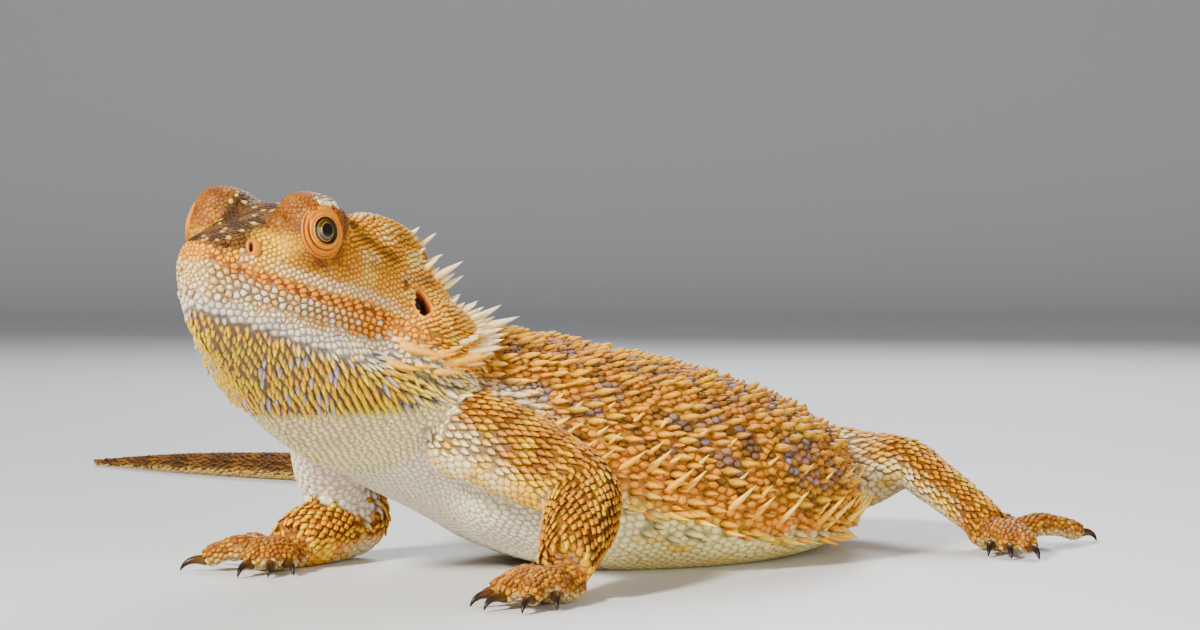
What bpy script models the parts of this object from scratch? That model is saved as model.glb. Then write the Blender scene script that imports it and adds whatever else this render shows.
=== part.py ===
"""Bearded dragon at life size, lying on its belly with the head raised and turned a little aside.

The frame is in metres: +Z up from the floor, -Y the way the head points, +X the animal's left. The origin is on
the floor under the middle of the trunk. Flesh is lofted from named stations and grown into two closed forms, the
head and the rest, which meet behind the jaw. Thin cuts part these into the body's named lengths. Eyes, ear drums
and claws are solids of their own.
"""

import math

import bmesh
import bpy
import numpy as np
from mathutils import Matrix, Vector
from mathutils.bvhtree import BVHTree

MM = 0.001
GAP = 0.3 * MM  # every cut between two parts
VOXEL = 0.8 * MM  # grain of the form that the lofts grow into
HEAD_TRIANGLES, BODY_TRIANGLES = 900, 2450

# ---------------------------------------------------------------- driving dimensions, in millimetres
# Trunk stations from the neck to the hips: x, y, top, widest height, underside, half width.
TRUNK = (
    (-10.0, -85.0, 57.0, 47.0, 36.0, 11.0),
    (-12.0, -73.0, 58.5, 44.0, 28.0, 16.0),
    (-13.0, -61.0, 54.5, 37.0, 18.5, 19.5),
    (-13.0, -50.0, 50.0, 30.0, 12.0, 22.5),
    (-9.0, -38.0, 48.0, 25.0, 4.5, 27.5),
    (-3.5, -22.0, 45.5, 19.0, -1.0, 33.0),
    (0.0, 0.0, 40.5, 15.0, -2.0, 37.5),
    (-5.0, 20.0, 34.5, 13.5, -2.0, 37.0),
    (-14.0, 35.0, 29.0, 12.5, -2.0, 27.5),
    (-27.0, 47.0, 25.0, 12.0, -2.0, 19.5),
    (-41.0, 56.0, 23.0, 11.0, -1.5, 14.5),
    (-54.0, 64.0, 20.0, 10.0, -1.0, 12.0),
)
FRINGE_FROM, FRINGE_TO = 0.46, 0.86  # share of the trunk's stations along which the flank spines stand
FRINGE_SPINES = 14
FRINGE_LENGTH = 5.5

# Tail stations from inside the hips to the tip: x, y, radius. It lies on the floor.
TAIL = (
    (-44.0, 58.0, 11.8),
    (-64.0, 72.0, 10.6),
    (-88.0, 86.0, 8.6),
    (-117.0, 94.0, 6.9),
    (-155.0, 90.5, 5.3),
    (-192.0, 79.5, 4.2),
    (-238.0, 71.5, 3.2),
    (-284.0, 70.0, 1.2),
)

# Head stations, back from the snout's tip along the mouth's plane: back, half width, crown, underside.
SNOUT_TIP = (-5.0, -114.0, 62.7)
HEAD_PITCH = math.radians(16.0)
HEAD_ROLL = math.radians(3.5)
HEAD_TURN = math.radians(12.5)
CRANIUM = (
    (0.0, 2.8, 2.6, -2.0),
    (2.5, 5.0, 5.0, -4.0),
    (8.0, 8.2, 8.4, -6.0),
    (14.0, 11.6, 12.8, -8.0),
    (20.0, 14.0, 16.6, -9.0),
    (28.0, 16.2, 18.0, -10.0),
    (36.0, 18.0, 18.7, -11.0),
    (45.0, 20.0, 18.6, -12.0),
    (52.0, 21.0, 17.0, -12.0),
    (58.0, 19.5, 13.5, -11.0),
    (64.0, 14.0, 9.0, -8.0),
    (68.0, 6.0, 3.0, -5.0),
)
BEARD = (
    (1.0, 2.6, 0.0, -3.5),
    (3.0, 4.4, 0.6, -8.8),
    (6.0, 5.8, 0.6, -12.2),
    (10.0, 7.8, 0.3, -14.8),
    (16.0, 10.6, 0.0, -16.8),
    (23.0, 14.4, -0.5, -19.4),
    (31.0, 18.4, -1.0, -22.6),
    (40.0, 22.0, -1.0, -26.0),
    (50.0, 25.0, -1.0, -28.0),
    (60.0, 27.0, -2.0, -27.0),
    (68.0, 26.0, -3.0, -22.5),
    (75.0, 17.0, -7.0, -16.5),
)
BROW = (20.3, 9.9, 14.1)  # back, aside, up
BROW_RADII = (8.6, 6.2, 4.8)
CHEEK = (54.0, 17.5, -3.0)
CHEEK_RADII = (14.0, 9.5, 11.0)
TEMPLE = (42.0, 10.0, 13.6)
TEMPLE_RADII = (14.0, 6.4, 6.4)
EYE = (18.5, 11.8, 10.6)
EYE_RADIUS = 4.4
LID_RADII = (6.0, 5.9, 6.3)
EYE_OPENING = 2.7
EYE_FORWARD = math.radians(12.0)
EAR = (45.2, 20.4, 4.5)
EAR_RADII = (2.0, 3.2, 3.6)
# Spines round the back of the head on each side: back, aside, up, length and rise.
CREST = (
    (49.5, 13.0, 16.6, 4.4, 0.9),
    (50.5, 18.4, 11.4, 6.2, 0.8),
    (54.5, 18.6, 10.6, 4.4, 0.8),
    (57.0, 21.4, 6.8, 4.0, 0.8),
    (59.0, 22.8, 5.3, 6.6, 0.7),
    (60.5, 23.4, 4.0, 7.6, 0.45),
    (61.5, 24.0, 2.4, 5.4, 0.3),
    (59.7, 25.5, 0.8, 5.4, 0.3),
    (55.0, 26.8, -1.9, 6.8, 0.3),
    (50.0, 26.4, -5.4, 8.0, 0.25),
    (41.6, 21.8, -4.8, 9.0, 0.0),
)

# Limbs: joints from inside the trunk to the wrist or ankle, as x, y, z, radius.
LIMBS = {
    "front_left": (
        (-6.0, -54.0, 30.0, 9.0),
        (7.0, -55.0, 28.0, 9.6),
        (19.0, -51.5, 23.5, 8.8),
        (29.5, -48.5, 18.5, 7.6),
        (34.5, -52.0, 14.5, 7.4),
        (40.0, -59.0, 10.8, 6.8),
        (45.0, -66.5, 6.6, 5.4),
    ),
    "front_right": (
        (-20.0, -55.0, 31.0, 8.6),
        (-33.0, -55.5, 26.0, 8.6),
        (-39.5, -49.5, 16.0, 7.8),
        (-40.5, -43.5, 8.4, 7.4),
        (-39.0, -50.0, 6.9, 7.2),
        (-36.0, -58.0, 6.2, 6.6),
        (-33.5, -66.0, 5.0, 5.4),
    ),
    "hind_left": (
        (-24.0, 52.0, 15.0, 9.5),
        (-14.0, 57.5, 14.5, 10.5),
        (2.0, 63.5, 14.5, 9.2),
        (15.0, 65.5, 16.5, 5.8),
        (24.0, 64.0, 13.4, 5.1),
        (34.0, 62.0, 9.2, 4.8),
        (42.5, 60.5, 5.2, 4.2),
    ),
    "hind_right": (
        (-30.0, 44.0, 15.0, 9.5),
        (-43.0, 36.0, 14.5, 10.5),
        (-57.0, 28.0, 14.5, 9.2),
        (-68.0, 23.0, 16.0, 5.8),
        (-72.0, 31.0, 13.0, 5.1),
        (-73.0, 40.0, 9.0, 4.8),
        (-73.0, 49.0, 5.2, 4.2),
    ),
}
HEAD_PARTS = ("head", "lower_jaw", "beard")
LIMB_ROUND = {"front": ("upper_arm", "forearm", "hand"), "hind": ("thigh", "shin", "foot")}
# Cuts across each limb, trunk end first: point, direction and radius.
LIMB_CUTS = {
    "front_left": (
        ((16.8, -52.2, 24.0), (0.83, -0.53, 0.0), 17.5),
        ((31.0, -49.0, 17.6), (0.75, -0.5, -0.45), 11.0),
        ((44.0, -65.0, 7.6), (0.45, -0.65, -0.5), 8.0),
    ),
    "front_right": (
        ((-35.3, -50.0, 20.0), (-0.95, -0.05, -0.3), 16.0),
        ((-40.0, -46.8, 7.3), (0.0, 0.47, 0.88), 14.0),
        ((-34.2, -64.0, 5.3), (0.3, -1.0, -0.1), 8.0),
    ),
    "hind_left": (
        ((5.5, 61.5, 14.5), (0.85, 0.5, 0.05), 13.0),
        ((17.5, 65.3, 15.6), (0.95, -0.1, -0.25), 8.5),
        ((34.5, 62.0, 9.0), (0.88, -0.15, -0.45), 7.0),
    ),
    "hind_right": (
        ((-53.0, 30.5, 14.5), (-0.88, -0.47, 0.05), 12.5),
        ((-70.0, 27.5, 14.5), (-0.8, 0.6, -0.1), 11.0),
        ((-73.0, 40.5, 8.8), (0.0, 0.9, -0.42), 7.0),
    ),
}

# Feet: where the palm's middle lies, its heading from +X in degrees, half length, half width and half height.
PALMS = {
    "front_left": (46.0, -70.5, -82.0, 6.6, 6.2, 3.4),
    "front_right": (-33.0, -70.5, -100.0, 6.6, 6.2, 3.4),
    "hind_left": (42.5, 63.0, 15.0, 6.6, 6.2, 3.4),
    "hind_right": (-75.0, 53.0, 160.0, 6.6, 6.2, 3.4),
}
# Toes, the inner one first: heading from +X in degrees and reach from the palm's middle to the claw's tip.
TOES = {
    "front_left": ((-138, 14.0), (-106, 17.0), (-86, 18.6), (-61, 19.4), (-42, 13.5)),
    "front_right": ((-24, 13.0), (-45, 15.5), (-66, 16.5), (-126, 18.8), (-172, 17.0)),
    "hind_left": ((-58, 16.5), (-44, 21.5), (-31, 24.0), (80, 28.5), (118, 19.0)),
    "hind_right": ((218, 16.5), (198, 21.0), (178, 26.0), (155, 30.0), (112, 19.0)),
}
TOE_RADII = (2.9, 2.5, 1.9)
CLAW_LENGTH, CLAW_RADIUS = 5.2, 1.0
CLAW_SINK = 0.7  # how deep a claw's root sits in its toe

# Colours and finishes: linear red, green, blue and roughness.
SKIN_TAN = ((0.46, 0.25, 0.09), 0.62)
SKIN_CREAM = ((0.62, 0.52, 0.34), 0.62)
SKIN_ORANGE = ((0.62, 0.26, 0.06), 0.58)
SKIN_BROWN = ((0.33, 0.17, 0.06), 0.62)
CLAW_HORN = ((0.06, 0.025, 0.012), 0.35)
EYE_DARK = ((0.05, 0.035, 0.02), 0.08)
EAR_DARK = ((0.09, 0.04, 0.02), 0.7)


# ---------------------------------------------------------------- shape tools
def smooth(rows, steps):
    """Catmull-Rom curve through the rows, with this many steps between each two."""
    rows = np.array(rows, float)
    held = np.vstack([2 * rows[0] - rows[1], rows, 2 * rows[-1] - rows[-2]])
    t = np.linspace(0, 1, steps, endpoint=False)[:, None]
    spans = [
        0.5 * (2 * b + (c - a) * t + (2 * a - 5 * b + 4 * c - d) * t**2 + (3 * b - a - 3 * c + d) * t**3)
        for a, b, c, d in zip(held, held[1:], held[2:], held[3:])
    ]
    return np.vstack([*spans, rows[-1:]])


def rounded(angles, squareness):
    """Cosine and sine of a superellipse: squareness 1 is an ellipse, and less is boxier."""
    c, s = np.cos(angles), np.sin(angles)
    return np.sign(c) * np.abs(c) ** squareness, np.sign(s) * np.abs(s) ** squareness


def unit(v):
    return v / np.linalg.norm(v, axis=-1, keepdims=True)


def loft(form, rings):
    """Adds a closed tube through the rings, an array of rings x points x 3 in millimetres, to the bmesh."""
    count, sides = rings.shape[:2]
    verts = [[form.verts.new(Vector(p) * MM) for p in ring] for ring in rings]
    for a, b in zip(verts, verts[1:]):
        for i in range(sides):
            j = (i + 1) % sides
            form.faces.new((a[i], a[j], b[j], b[i]))
    form.faces.new(verts[0][::-1])
    form.faces.new(verts[-1])
    return count


def tube_rings(path, radii, sides, flatten=1.0):
    """Rings across a path in space, turned as little as possible from one to the next."""
    path, radii = np.array(path, float), np.array(radii, float)
    along = unit(np.gradient(path, axis=0))
    side = np.cross(along[0], (0.0, 0.0, 1.0))
    if np.linalg.norm(side) < 0.1:
        side = np.array((1.0, 0.0, 0.0))
    angles = np.linspace(0, 2 * math.pi, sides, endpoint=False)
    rings = []
    for p, t, r in zip(path, along, radii):
        side = unit(side - (side @ t) * t)
        up = np.cross(side, t)
        rings.append(p + r * (np.cos(angles)[:, None] * side + flatten * np.sin(angles)[:, None] * up))
    return np.array(rings)


def ellipsoid(form, centre, radii, turn=None, segments=20):
    """Adds an ellipsoid, centre and radii in millimetres, its axes turned by a 3x3 matrix."""
    turn = Matrix.Identity(3) if turn is None else turn
    size = Matrix.Diagonal((*(r * MM for r in radii), 1.0))
    place = Matrix.Translation(Vector(centre) * MM) @ turn.to_4x4() @ size
    bmesh.ops.create_uvsphere(form, u_segments=segments, v_segments=segments // 2, radius=1.0, matrix=place)


def mesh_object(name, form, collection):
    """Turns the bmesh into an object, its faces pointing out."""
    bmesh.ops.recalc_face_normals(form, faces=form.faces)
    mesh = bpy.data.meshes.new(name)
    form.to_mesh(mesh)
    form.free()
    made = bpy.data.objects.new(name, mesh)
    collection.objects.link(made)
    return made


def applied(obj):
    """The object with its modifiers made part of its mesh."""
    bpy.context.view_layer.update()
    graph = bpy.context.evaluated_depsgraph_get()
    mesh = bpy.data.meshes.new_from_object(obj.evaluated_get(graph))
    old = obj.data
    obj.modifiers.clear()
    obj.data = mesh
    bpy.data.meshes.remove(old)
    return obj


def boolean(obj, other, operation, crossing=False):
    """Cuts or joins obj by the other mesh. crossing: the other's own faces may pass through each other."""
    step = obj.modifiers.new(operation.lower(), "BOOLEAN")
    step.operation = operation
    step.object = other
    step.solver = "EXACT"
    step.use_self = crossing
    return applied(obj)


# ---------------------------------------------------------------- places on the body
def head_matrix():
    """From head axes (aside, back, up) in millimetres to the frame."""
    level = Matrix.Rotation(-HEAD_PITCH, 3, "X") @ Matrix.Rotation(HEAD_ROLL, 3, "Y")
    turn = Matrix.Rotation(HEAD_TURN, 3, "Z") @ level
    return turn.to_4x4(), Vector(SNOUT_TIP)


def on_head(back, aside, up):
    """A point of the head: back from the snout, aside to the left, up from the mouth's plane."""
    turn, tip = head_matrix()
    return tip + turn @ Vector((aside, back, up))


def trunk_line():
    """Smoothed trunk stations and, for each, the level direction towards the animal's left."""
    rows = smooth(TRUNK, 5)
    along = np.gradient(rows[:, :2], axis=0)
    along = unit(along)
    left = np.stack([along[:, 1], -along[:, 0], np.zeros(len(rows))], 1)
    return rows, left, along


def tail_line():
    """Points along the tail, and the radius at each."""
    rows = smooth(TAIL, 4)
    return np.column_stack([rows[:, :2], 0.93 * rows[:, 2]]), rows[:, 2]


def limb_line(limb):
    rows = smooth(LIMBS[limb], 4)
    return rows[:, :3], rows[:, 3]


# ---------------------------------------------------------------- flesh
def add_trunk(form, sides=36):
    """Trunk and neck: broad, flat-bellied sections along a bent line."""
    rows, left, _ = trunk_line()
    angles = np.linspace(0, 2 * math.pi, sides, endpoint=False)
    back_c, back_s = rounded(angles, 0.92)
    belly_c, belly_s = rounded(angles, 0.72)
    is_back = np.sin(angles) >= 0
    rings = []
    for (x, y, top, wide, under, half), aside in zip(rows, left):
        across = half * np.where(is_back, back_c, belly_c)
        height = np.where(is_back, wide + (top - wide) * back_s, wide + (wide - under) * belly_s)
        ring = np.array((x, y, 0.0)) + across[:, None] * aside
        ring[:, 2] += height
        rings.append(ring)
    loft(form, np.array(rings))


def add_tail(form):
    path, radii = tail_line()
    loft(form, tube_rings(path, radii, 20))


def add_head_loft(form, stations, crown_squareness, chin_squareness, sides=32):
    """A loft of the head: stations of back, half width, upper and lower height."""
    rows = smooth(stations, 4)
    angles = np.linspace(0, 2 * math.pi, sides, endpoint=False)
    crown_c, crown_s = rounded(angles, crown_squareness)
    chin_c, chin_s = rounded(angles, chin_squareness)
    is_crown = np.sin(angles) >= 0
    rings = []
    for back, half, upper, lower in rows:
        across = half * np.where(is_crown, crown_c, chin_c)
        middle = 0.5 * (upper + lower) if upper < 2 else 0.0
        height = middle + np.where(is_crown, (upper - middle) * crown_s, (middle - lower) * chin_s)
        rings.append([on_head(back, a, h) for a, h in zip(across, height)])
    loft(form, np.array(rings))


def add_head(form):
    add_head_loft(form, CRANIUM, 0.72, 0.9)
    add_head_loft(form, BEARD, 1.0, 1.6)
    turn = head_matrix()[0].to_3x3()
    for side in (-1, 1):
        for (back, aside, up), (long, wide, high) in (
            (BROW, BROW_RADII),
            (CHEEK, CHEEK_RADII),
            (TEMPLE, TEMPLE_RADII),
            (EYE, LID_RADII),
        ):
            ellipsoid(form, on_head(back, side * aside, up), (wide, long, high), turn)


def add_limb(form, limb):
    path, radii = limb_line(limb)
    loft(form, tube_rings(path, radii, 16))


def toe_lines(limb):
    """For each toe, its path from the palm to the claw's root, with the radii."""
    at = np.array((*PALMS[limb][:2], 0.0))
    lines = []
    for heading, reach in TOES[limb]:
        ahead = np.array((math.cos(math.radians(heading)), math.sin(math.radians(heading)), 0.0))
        length = reach - CLAW_LENGTH + CLAW_SINK
        shares = ((0.12, 2.8, 0), (0.45, 4.6, 0), (0.72, 4.0, 1), (0.9, 2.9, 1), (1.0, 2.2, 2))
        path = [at + length * share * ahead + np.array((0, 0, height)) for share, height, _ in shares]
        radii = [TOE_RADII[thick] for _, _, thick in shares]
        lines.append((smooth(path, 3), smooth(np.array(radii)[:, None], 3)[:, 0], ahead))
    return lines


def add_foot(form, limb):
    """A flat palm and five arched toes."""
    x, y, heading, long, wide, high = PALMS[limb]
    ellipsoid(form, (x, y, 0.86 * high), (long, wide, high), Matrix.Rotation(math.radians(heading), 3, "Z"))
    for path, radii, _ in toe_lines(limb):
        loft(form, tube_rings(path, radii, 10))


def grown(name, form, triangles, collection):
    """The lofts of one form grown into a single skin and thinned to this many triangles."""
    flesh = mesh_object(name, form, collection)
    grow = flesh.modifiers.new("grow", "REMESH")
    grow.mode = "VOXEL"
    grow.voxel_size = VOXEL
    soft = flesh.modifiers.new("soft", "SMOOTH")
    soft.factor = 0.5
    soft.iterations = 5
    applied(flesh)
    thin = flesh.modifiers.new("thin", "DECIMATE")
    thin.ratio = triangles / (2 * len(flesh.data.polygons))
    return applied(flesh)


def grow_head(collection):
    form = bmesh.new()
    add_head(form)
    return grown("head_flesh", form, HEAD_TRIANGLES, collection)


def grow_body(collection):
    form = bmesh.new()
    add_trunk(form)
    add_tail(form)
    for limb in LIMBS:
        add_limb(form, limb)
        add_foot(form, limb)
    return grown("body_flesh", form, BODY_TRIANGLES, collection)


def swollen(flesh, collection):
    """The form grown outwards by the gap, as a cutter."""
    form = bmesh.new()
    form.from_mesh(flesh.data)
    form.normal_update()
    shifts = [v.normal * GAP for v in form.verts]
    for vert, shift in zip(form.verts, shifts):
        vert.co += shift
    return as_cutter(mesh_object(flesh.name + "_room", form, collection))


# ---------------------------------------------------------------- spines
def add_spine(form, root, ahead, length, radius, sunk=1.6, sides=5, tip=0.15):
    """One pointed spine: its root sunk in the flesh."""
    ahead = Vector(ahead).normalized()
    place = Matrix.Translation((Vector(root) + 0.5 * (length - sunk) * ahead) * MM)
    turn = ahead.to_track_quat("Z", "Y").to_matrix().to_4x4()
    bmesh.ops.create_cone(
        form,
        cap_ends=True,
        segments=sides,
        radius1=radius * MM,
        radius2=tip * MM,
        depth=(length + sunk) * MM,
        matrix=place @ turn,
    )


def root_finder(flesh):
    """Moves a point, in millimetres, to the nearest place on the form."""
    mesh = flesh.data
    surface = BVHTree.FromPolygons([v.co for v in mesh.vertices], [p.vertices for p in mesh.polygons])
    return lambda point: surface.find_nearest(Vector(point) * MM)[0] / MM


def add_fringe(form, flesh):
    """The row of spines along each flank."""
    rooted = root_finder(flesh)
    rows, left, along = trunk_line()
    for at in np.linspace(FRINGE_FROM, FRINGE_TO, FRINGE_SPINES) * (len(rows) - 1):
        i = int(round(at))
        x, y, _, wide, _, half = rows[i]
        back = np.array((*along[i], 0.0))
        for side in (-1, 1):
            root = np.array((x, y, wide + 0.5)) + side * half * left[i]
            ahead = side * left[i] + 0.55 * back + np.array((0, 0, 0.5))
            add_spine(form, rooted(root), ahead, FRINGE_LENGTH, 1.2)


def add_crest(form, flesh, grow=0.0):
    """The spines round the back of the head. grow makes the room they need."""
    rooted = root_finder(flesh)
    turn = head_matrix()[0].to_3x3()
    for back, aside, up, length, rise in CREST:
        for side in (-1, 1):
            ahead = turn @ Vector((side * 0.65, 0.75, rise))
            root = rooted(on_head(back, side * aside, up))
            add_spine(form, root, ahead, length + 3 * grow, 1.3 + 1.5 * grow, tip=0.16 + grow)


# ---------------------------------------------------------------- cutters
def add_disc(form, at, ahead, radius, thick=GAP / MM):
    """A thin disc across a part: the cut between two lengths."""
    turn = Vector(ahead).to_track_quat("Z", "Y").to_matrix().to_4x4()
    bmesh.ops.create_cone(
        form,
        cap_ends=True,
        segments=24,
        radius1=radius * MM,
        radius2=radius * MM,
        depth=thick * MM,
        matrix=Matrix.Translation(Vector(at) * MM) @ turn,
    )


def as_cutter(obj):
    obj.hide_render = True
    obj.display_type = "WIRE"
    return obj


def cut(flesh, collection, name, discs):
    """Cuts the form by each disc in turn, given as point, direction and radius."""
    for k, (at, ahead, radius) in enumerate(discs):
        form = bmesh.new()
        add_disc(form, at, ahead, radius)
        flesh = boolean(flesh, as_cutter(mesh_object(f"{name}_{k + 1}", form, collection)), "DIFFERENCE")
    return flesh


def slab(collection, name, centre, size, turn):
    """A box cutter, centre and size in millimetres."""
    form = bmesh.new()
    scale = Matrix.Diagonal((*(s * MM for s in size), 1.0))
    place = Matrix.Translation(Vector(centre) * MM) @ turn.to_4x4() @ scale
    bmesh.ops.create_cube(form, size=1.0, matrix=place)
    return as_cutter(mesh_object(name, form, collection))


# ---------------------------------------------------------------- assembly
def clear_scene():
    for obj in list(bpy.data.objects):
        bpy.data.objects.remove(obj, do_unlink=True)


def finish(name, look):
    """A plain material with the part's own colour and roughness."""
    colour, roughness = look
    made = bpy.data.materials.get(name) or bpy.data.materials.new(name)
    made.use_nodes = True
    shader = made.node_tree.nodes["Principled BSDF"]
    shader.inputs["Base Color"].default_value = (*colour, 1.0)
    shader.inputs["Roughness"].default_value = roughness
    return made


def islands(mesh):
    """The mesh's separate bodies, as lists of face indices."""
    form = bmesh.new()
    form.from_mesh(mesh)
    seen, found = set(), []
    for face in form.faces:
        if face.index in seen:
            continue
        stack, body = [face], []
        seen.add(face.index)
        while stack:
            here = stack.pop()
            body.append(here.index)
            for edge in here.edges:
                for other in edge.link_faces:
                    if other.index not in seen:
                        seen.add(other.index)
                        stack.append(other)
        found.append(body)
    form.free()
    return found


def named_anchors():
    """A point inside each part of the flesh, and its finish."""
    rows, _, _ = trunk_line()
    tail, _ = tail_line()
    anchors = {
        "head": (on_head(30, 0, 8), SKIN_ORANGE),
        "lower_jaw": (on_head(28, 0, -6), SKIN_CREAM),
        "beard": (on_head(36, 0, -20), SKIN_CREAM),
        "neck": (Vector((-12.0, -54.0, 30.0)), SKIN_CREAM),
        "trunk": (Vector((-2.0, 0.0, 18.0)), SKIN_TAN),
    }
    for k, share in enumerate((0.13, 0.36, 0.61, 0.87)):
        anchors[f"tail_{k + 1}"] = (Vector(tail[int(share * (len(tail) - 1))]), SKIN_BROWN)
    for limb in LIMBS:
        path, _ = limb_line(limb)
        first, second, third = LIMB_ROUND[limb.split("_")[0]]
        side = limb.split("_")[1]
        anchors[f"{first}_{side}"] = (Vector(path[9]), SKIN_TAN)
        anchors[f"{second}_{side}"] = (Vector(path[18]), SKIN_BROWN)
        anchors[f"{third}_{side}"] = (Vector((*PALMS[limb][:2], 2.0)), SKIN_TAN)
    return anchors


def part_flesh(flesh, collection, names):
    """Splits the cut flesh into its bodies, each named by the anchor that it lies nearest."""
    mesh = flesh.data
    anchors = {key: at for key, at in named_anchors().items() if key in names}
    made_parts = {}
    for body in islands(mesh):
        form = bmesh.new()
        form.from_mesh(mesh)
        keep = set(body)
        form.faces.ensure_lookup_table()
        bmesh.ops.delete(form, geom=[f for f in form.faces if f.index not in keep], context="FACES")
        centre = sum((v.co for v in form.verts), Vector()) / len(form.verts) / MM
        name = min(anchors, key=lambda key: (anchors[key][0] - centre).length)
        made = mesh_object(name, form, collection)
        made.data.materials.clear()
        made.data.materials.append(finish(name + "_skin", anchors[name][1]))
        made.data.shade_smooth()
        made.data.set_sharp_from_angle(angle=math.radians(40))
        made_parts[name] = made
    bpy.data.objects.remove(flesh)
    return made_parts


def eye_gaze(side):
    turn = head_matrix()[0].to_3x3()
    return turn @ Vector((side * math.cos(EYE_FORWARD), -math.sin(EYE_FORWARD), 0.12))


def cut_openings(flesh, collection):
    """Sockets for the eyes and the two shallow ears."""
    form = bmesh.new()
    for side in (-1, 1):
        back, aside, up = EYE
        centre = on_head(back, side * aside, up)
        ellipsoid(form, centre, (EYE_RADIUS + GAP / MM,) * 3, segments=12)
    balls = mesh_object("eye_balls", form, collection)
    form = bmesh.new()
    for side in (-1, 1):
        centre = on_head(EYE[0], side * EYE[1], EYE[2])
        gaze = eye_gaze(side)
        add_disc(form, centre + (EYE_RADIUS + 0.6) * gaze, gaze, EYE_OPENING, thick=5.0)
    holes = mesh_object("eye_holes", form, collection)
    form = bmesh.new()
    turn = head_matrix()[0].to_3x3()
    for side in (-1, 1):
        place = on_head(EAR[0], side * EAR[1], EAR[2])
        ellipsoid(form, place, (EAR_RADII[1], EAR_RADII[0], EAR_RADII[2]), turn, segments=12)
    ears = mesh_object("ear_pits", form, collection)
    for cutter in (balls, holes, ears):
        flesh = boolean(flesh, as_cutter(cutter), "DIFFERENCE")
    return flesh


def make_eyes(collection):
    for side, word in ((1, "left"), (-1, "right")):
        form = bmesh.new()
        ellipsoid(form, on_head(EYE[0], side * EYE[1], EYE[2]), (EYE_RADIUS,) * 3, segments=12)
        eye = mesh_object(f"eye_{word}", form, collection)
        eye.data.materials.append(finish("eye_dark", EYE_DARK))
        eye.data.shade_smooth()


def make_ears(collection):
    """Ear drums: low discs at the bottom of the pits."""
    turn = head_matrix()[0].to_3x3()
    for side, word in ((1, "left"), (-1, "right")):
        form = bmesh.new()
        back, aside, up = EAR
        inner = aside - 0.62 * EAR_RADII[1]
        radii = (0.5, 0.58 * EAR_RADII[0], 0.58 * EAR_RADII[2])
        ellipsoid(form, on_head(back, side * inner, up), radii, turn, segments=10)
        drum = mesh_object(f"ear_drum_{word}", form, collection)
        drum.data.materials.append(finish("ear_dark", EAR_DARK))
        drum.data.shade_smooth()


def claw_rings(path, ahead, grow=0.0):
    """A claw that leaves its toe level and curves down to the floor. grow makes the socket."""
    share = np.linspace(0, 1, 5)
    root = path[-1] - CLAW_SINK * ahead - grow * ahead
    drop = root[2] - 0.25
    points = root + np.outer((CLAW_LENGTH + grow) * np.sin(share * 1.35) / math.sin(1.35), ahead)
    points[:, 2] = root[2] + 0.5 * np.sin(math.pi * share) - drop * share**1.7
    radii = CLAW_RADIUS * (1 - share) ** 0.8 + 0.13 + grow
    return tube_rings(points, radii, 6)


def make_claws(flesh, collection, tools):
    """Five claws a foot, each in a socket of its toe."""
    sockets = bmesh.new()
    for limb in LIMBS:
        for k, (path, _, ahead) in enumerate(toe_lines(limb)):
            loft(sockets, claw_rings(path, ahead, grow=GAP / MM))
            form = bmesh.new()
            loft(form, claw_rings(path, ahead))
            claw = mesh_object(f"claw_{limb}_{k + 1}", form, collection)
            claw.data.materials.append(finish("claw_horn", CLAW_HORN))
            claw.data.shade_smooth()
    return boolean(flesh, as_cutter(mesh_object("claw_sockets", sockets, tools)), "DIFFERENCE")


def main():
    clear_scene()
    scene = bpy.context.scene
    body = bpy.data.collections.new("bearded_dragon")
    tools = bpy.data.collections.new("cutters")
    scene.collection.children.link(body)
    scene.collection.children.link(tools)

    # the head: crest, eye sockets and ears, then the jaw and the beard cut from it
    head = grow_head(body)
    room = swollen(head, tools)
    form, wider = bmesh.new(), bmesh.new()
    add_crest(form, head)
    add_crest(wider, head, grow=GAP / MM)
    crest_room = as_cutter(mesh_object("crest_room", wider, tools))
    head = boolean(head, as_cutter(mesh_object("crest", form, tools)), "UNION", crossing=True)
    head = cut_openings(head, tools)
    turn = head_matrix()[0].to_3x3()
    along_mouth = turn @ Matrix.Rotation(math.radians(1.0), 3, "X")
    mouth = slab(tools, "mouth_cut", on_head(30.0, 0.0, 0.5), (90.0, 110.0, GAP / MM), along_mouth)
    jaw = slab(tools, "jaw_cut", on_head(30.0, 0.0, -11.0), (90.0, 110.0, GAP / MM), turn)
    for cutter in (mouth, jaw):
        head = boolean(head, cutter, "DIFFERENCE")

    # the rest: flank spines, room for the head, the flat of the floor, claws, then its lengths
    rest = grow_body(body)
    form = bmesh.new()
    add_fringe(form, rest)
    rest = boolean(rest, as_cutter(mesh_object("fringe", form, tools)), "UNION", crossing=True)
    rest = boolean(rest, room, "DIFFERENCE")
    rest = boolean(rest, crest_room, "DIFFERENCE", crossing=True)
    floor = slab(tools, "floor", (-100, 0, -30), (600, 500, 60), Matrix.Identity(3))
    rest = boolean(rest, floor, "DIFFERENCE")
    rest = make_claws(rest, body, tools)
    tail, radii = tail_line()
    tail_along = unit(np.gradient(tail, axis=0))
    marks = [int(share * (len(tail) - 1)) for share in (0.14, 0.33, 0.55, 0.78)]
    rest = cut(rest, tools, "tail_cuts", [(tail[i], tail_along[i], 1.8 * radii[i] + 1) for i in marks])
    for limb in LIMBS:
        rest = cut(rest, tools, f"{limb}_cuts", LIMB_CUTS[limb])

    part_flesh(head, body, HEAD_PARTS)
    parts = part_flesh(rest, body, set(named_anchors()) - {*HEAD_PARTS, "neck"})
    front = parts["trunk"]
    front.name = "front"
    front = cut(front, tools, "neck_cut", [((-10.0, -46.0, 31.0), (0.0, 0.95, -0.32), 50.0)])
    part_flesh(front, body, ("neck", "trunk"))
    make_eyes(body)
    make_ears(body)


main()
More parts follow.
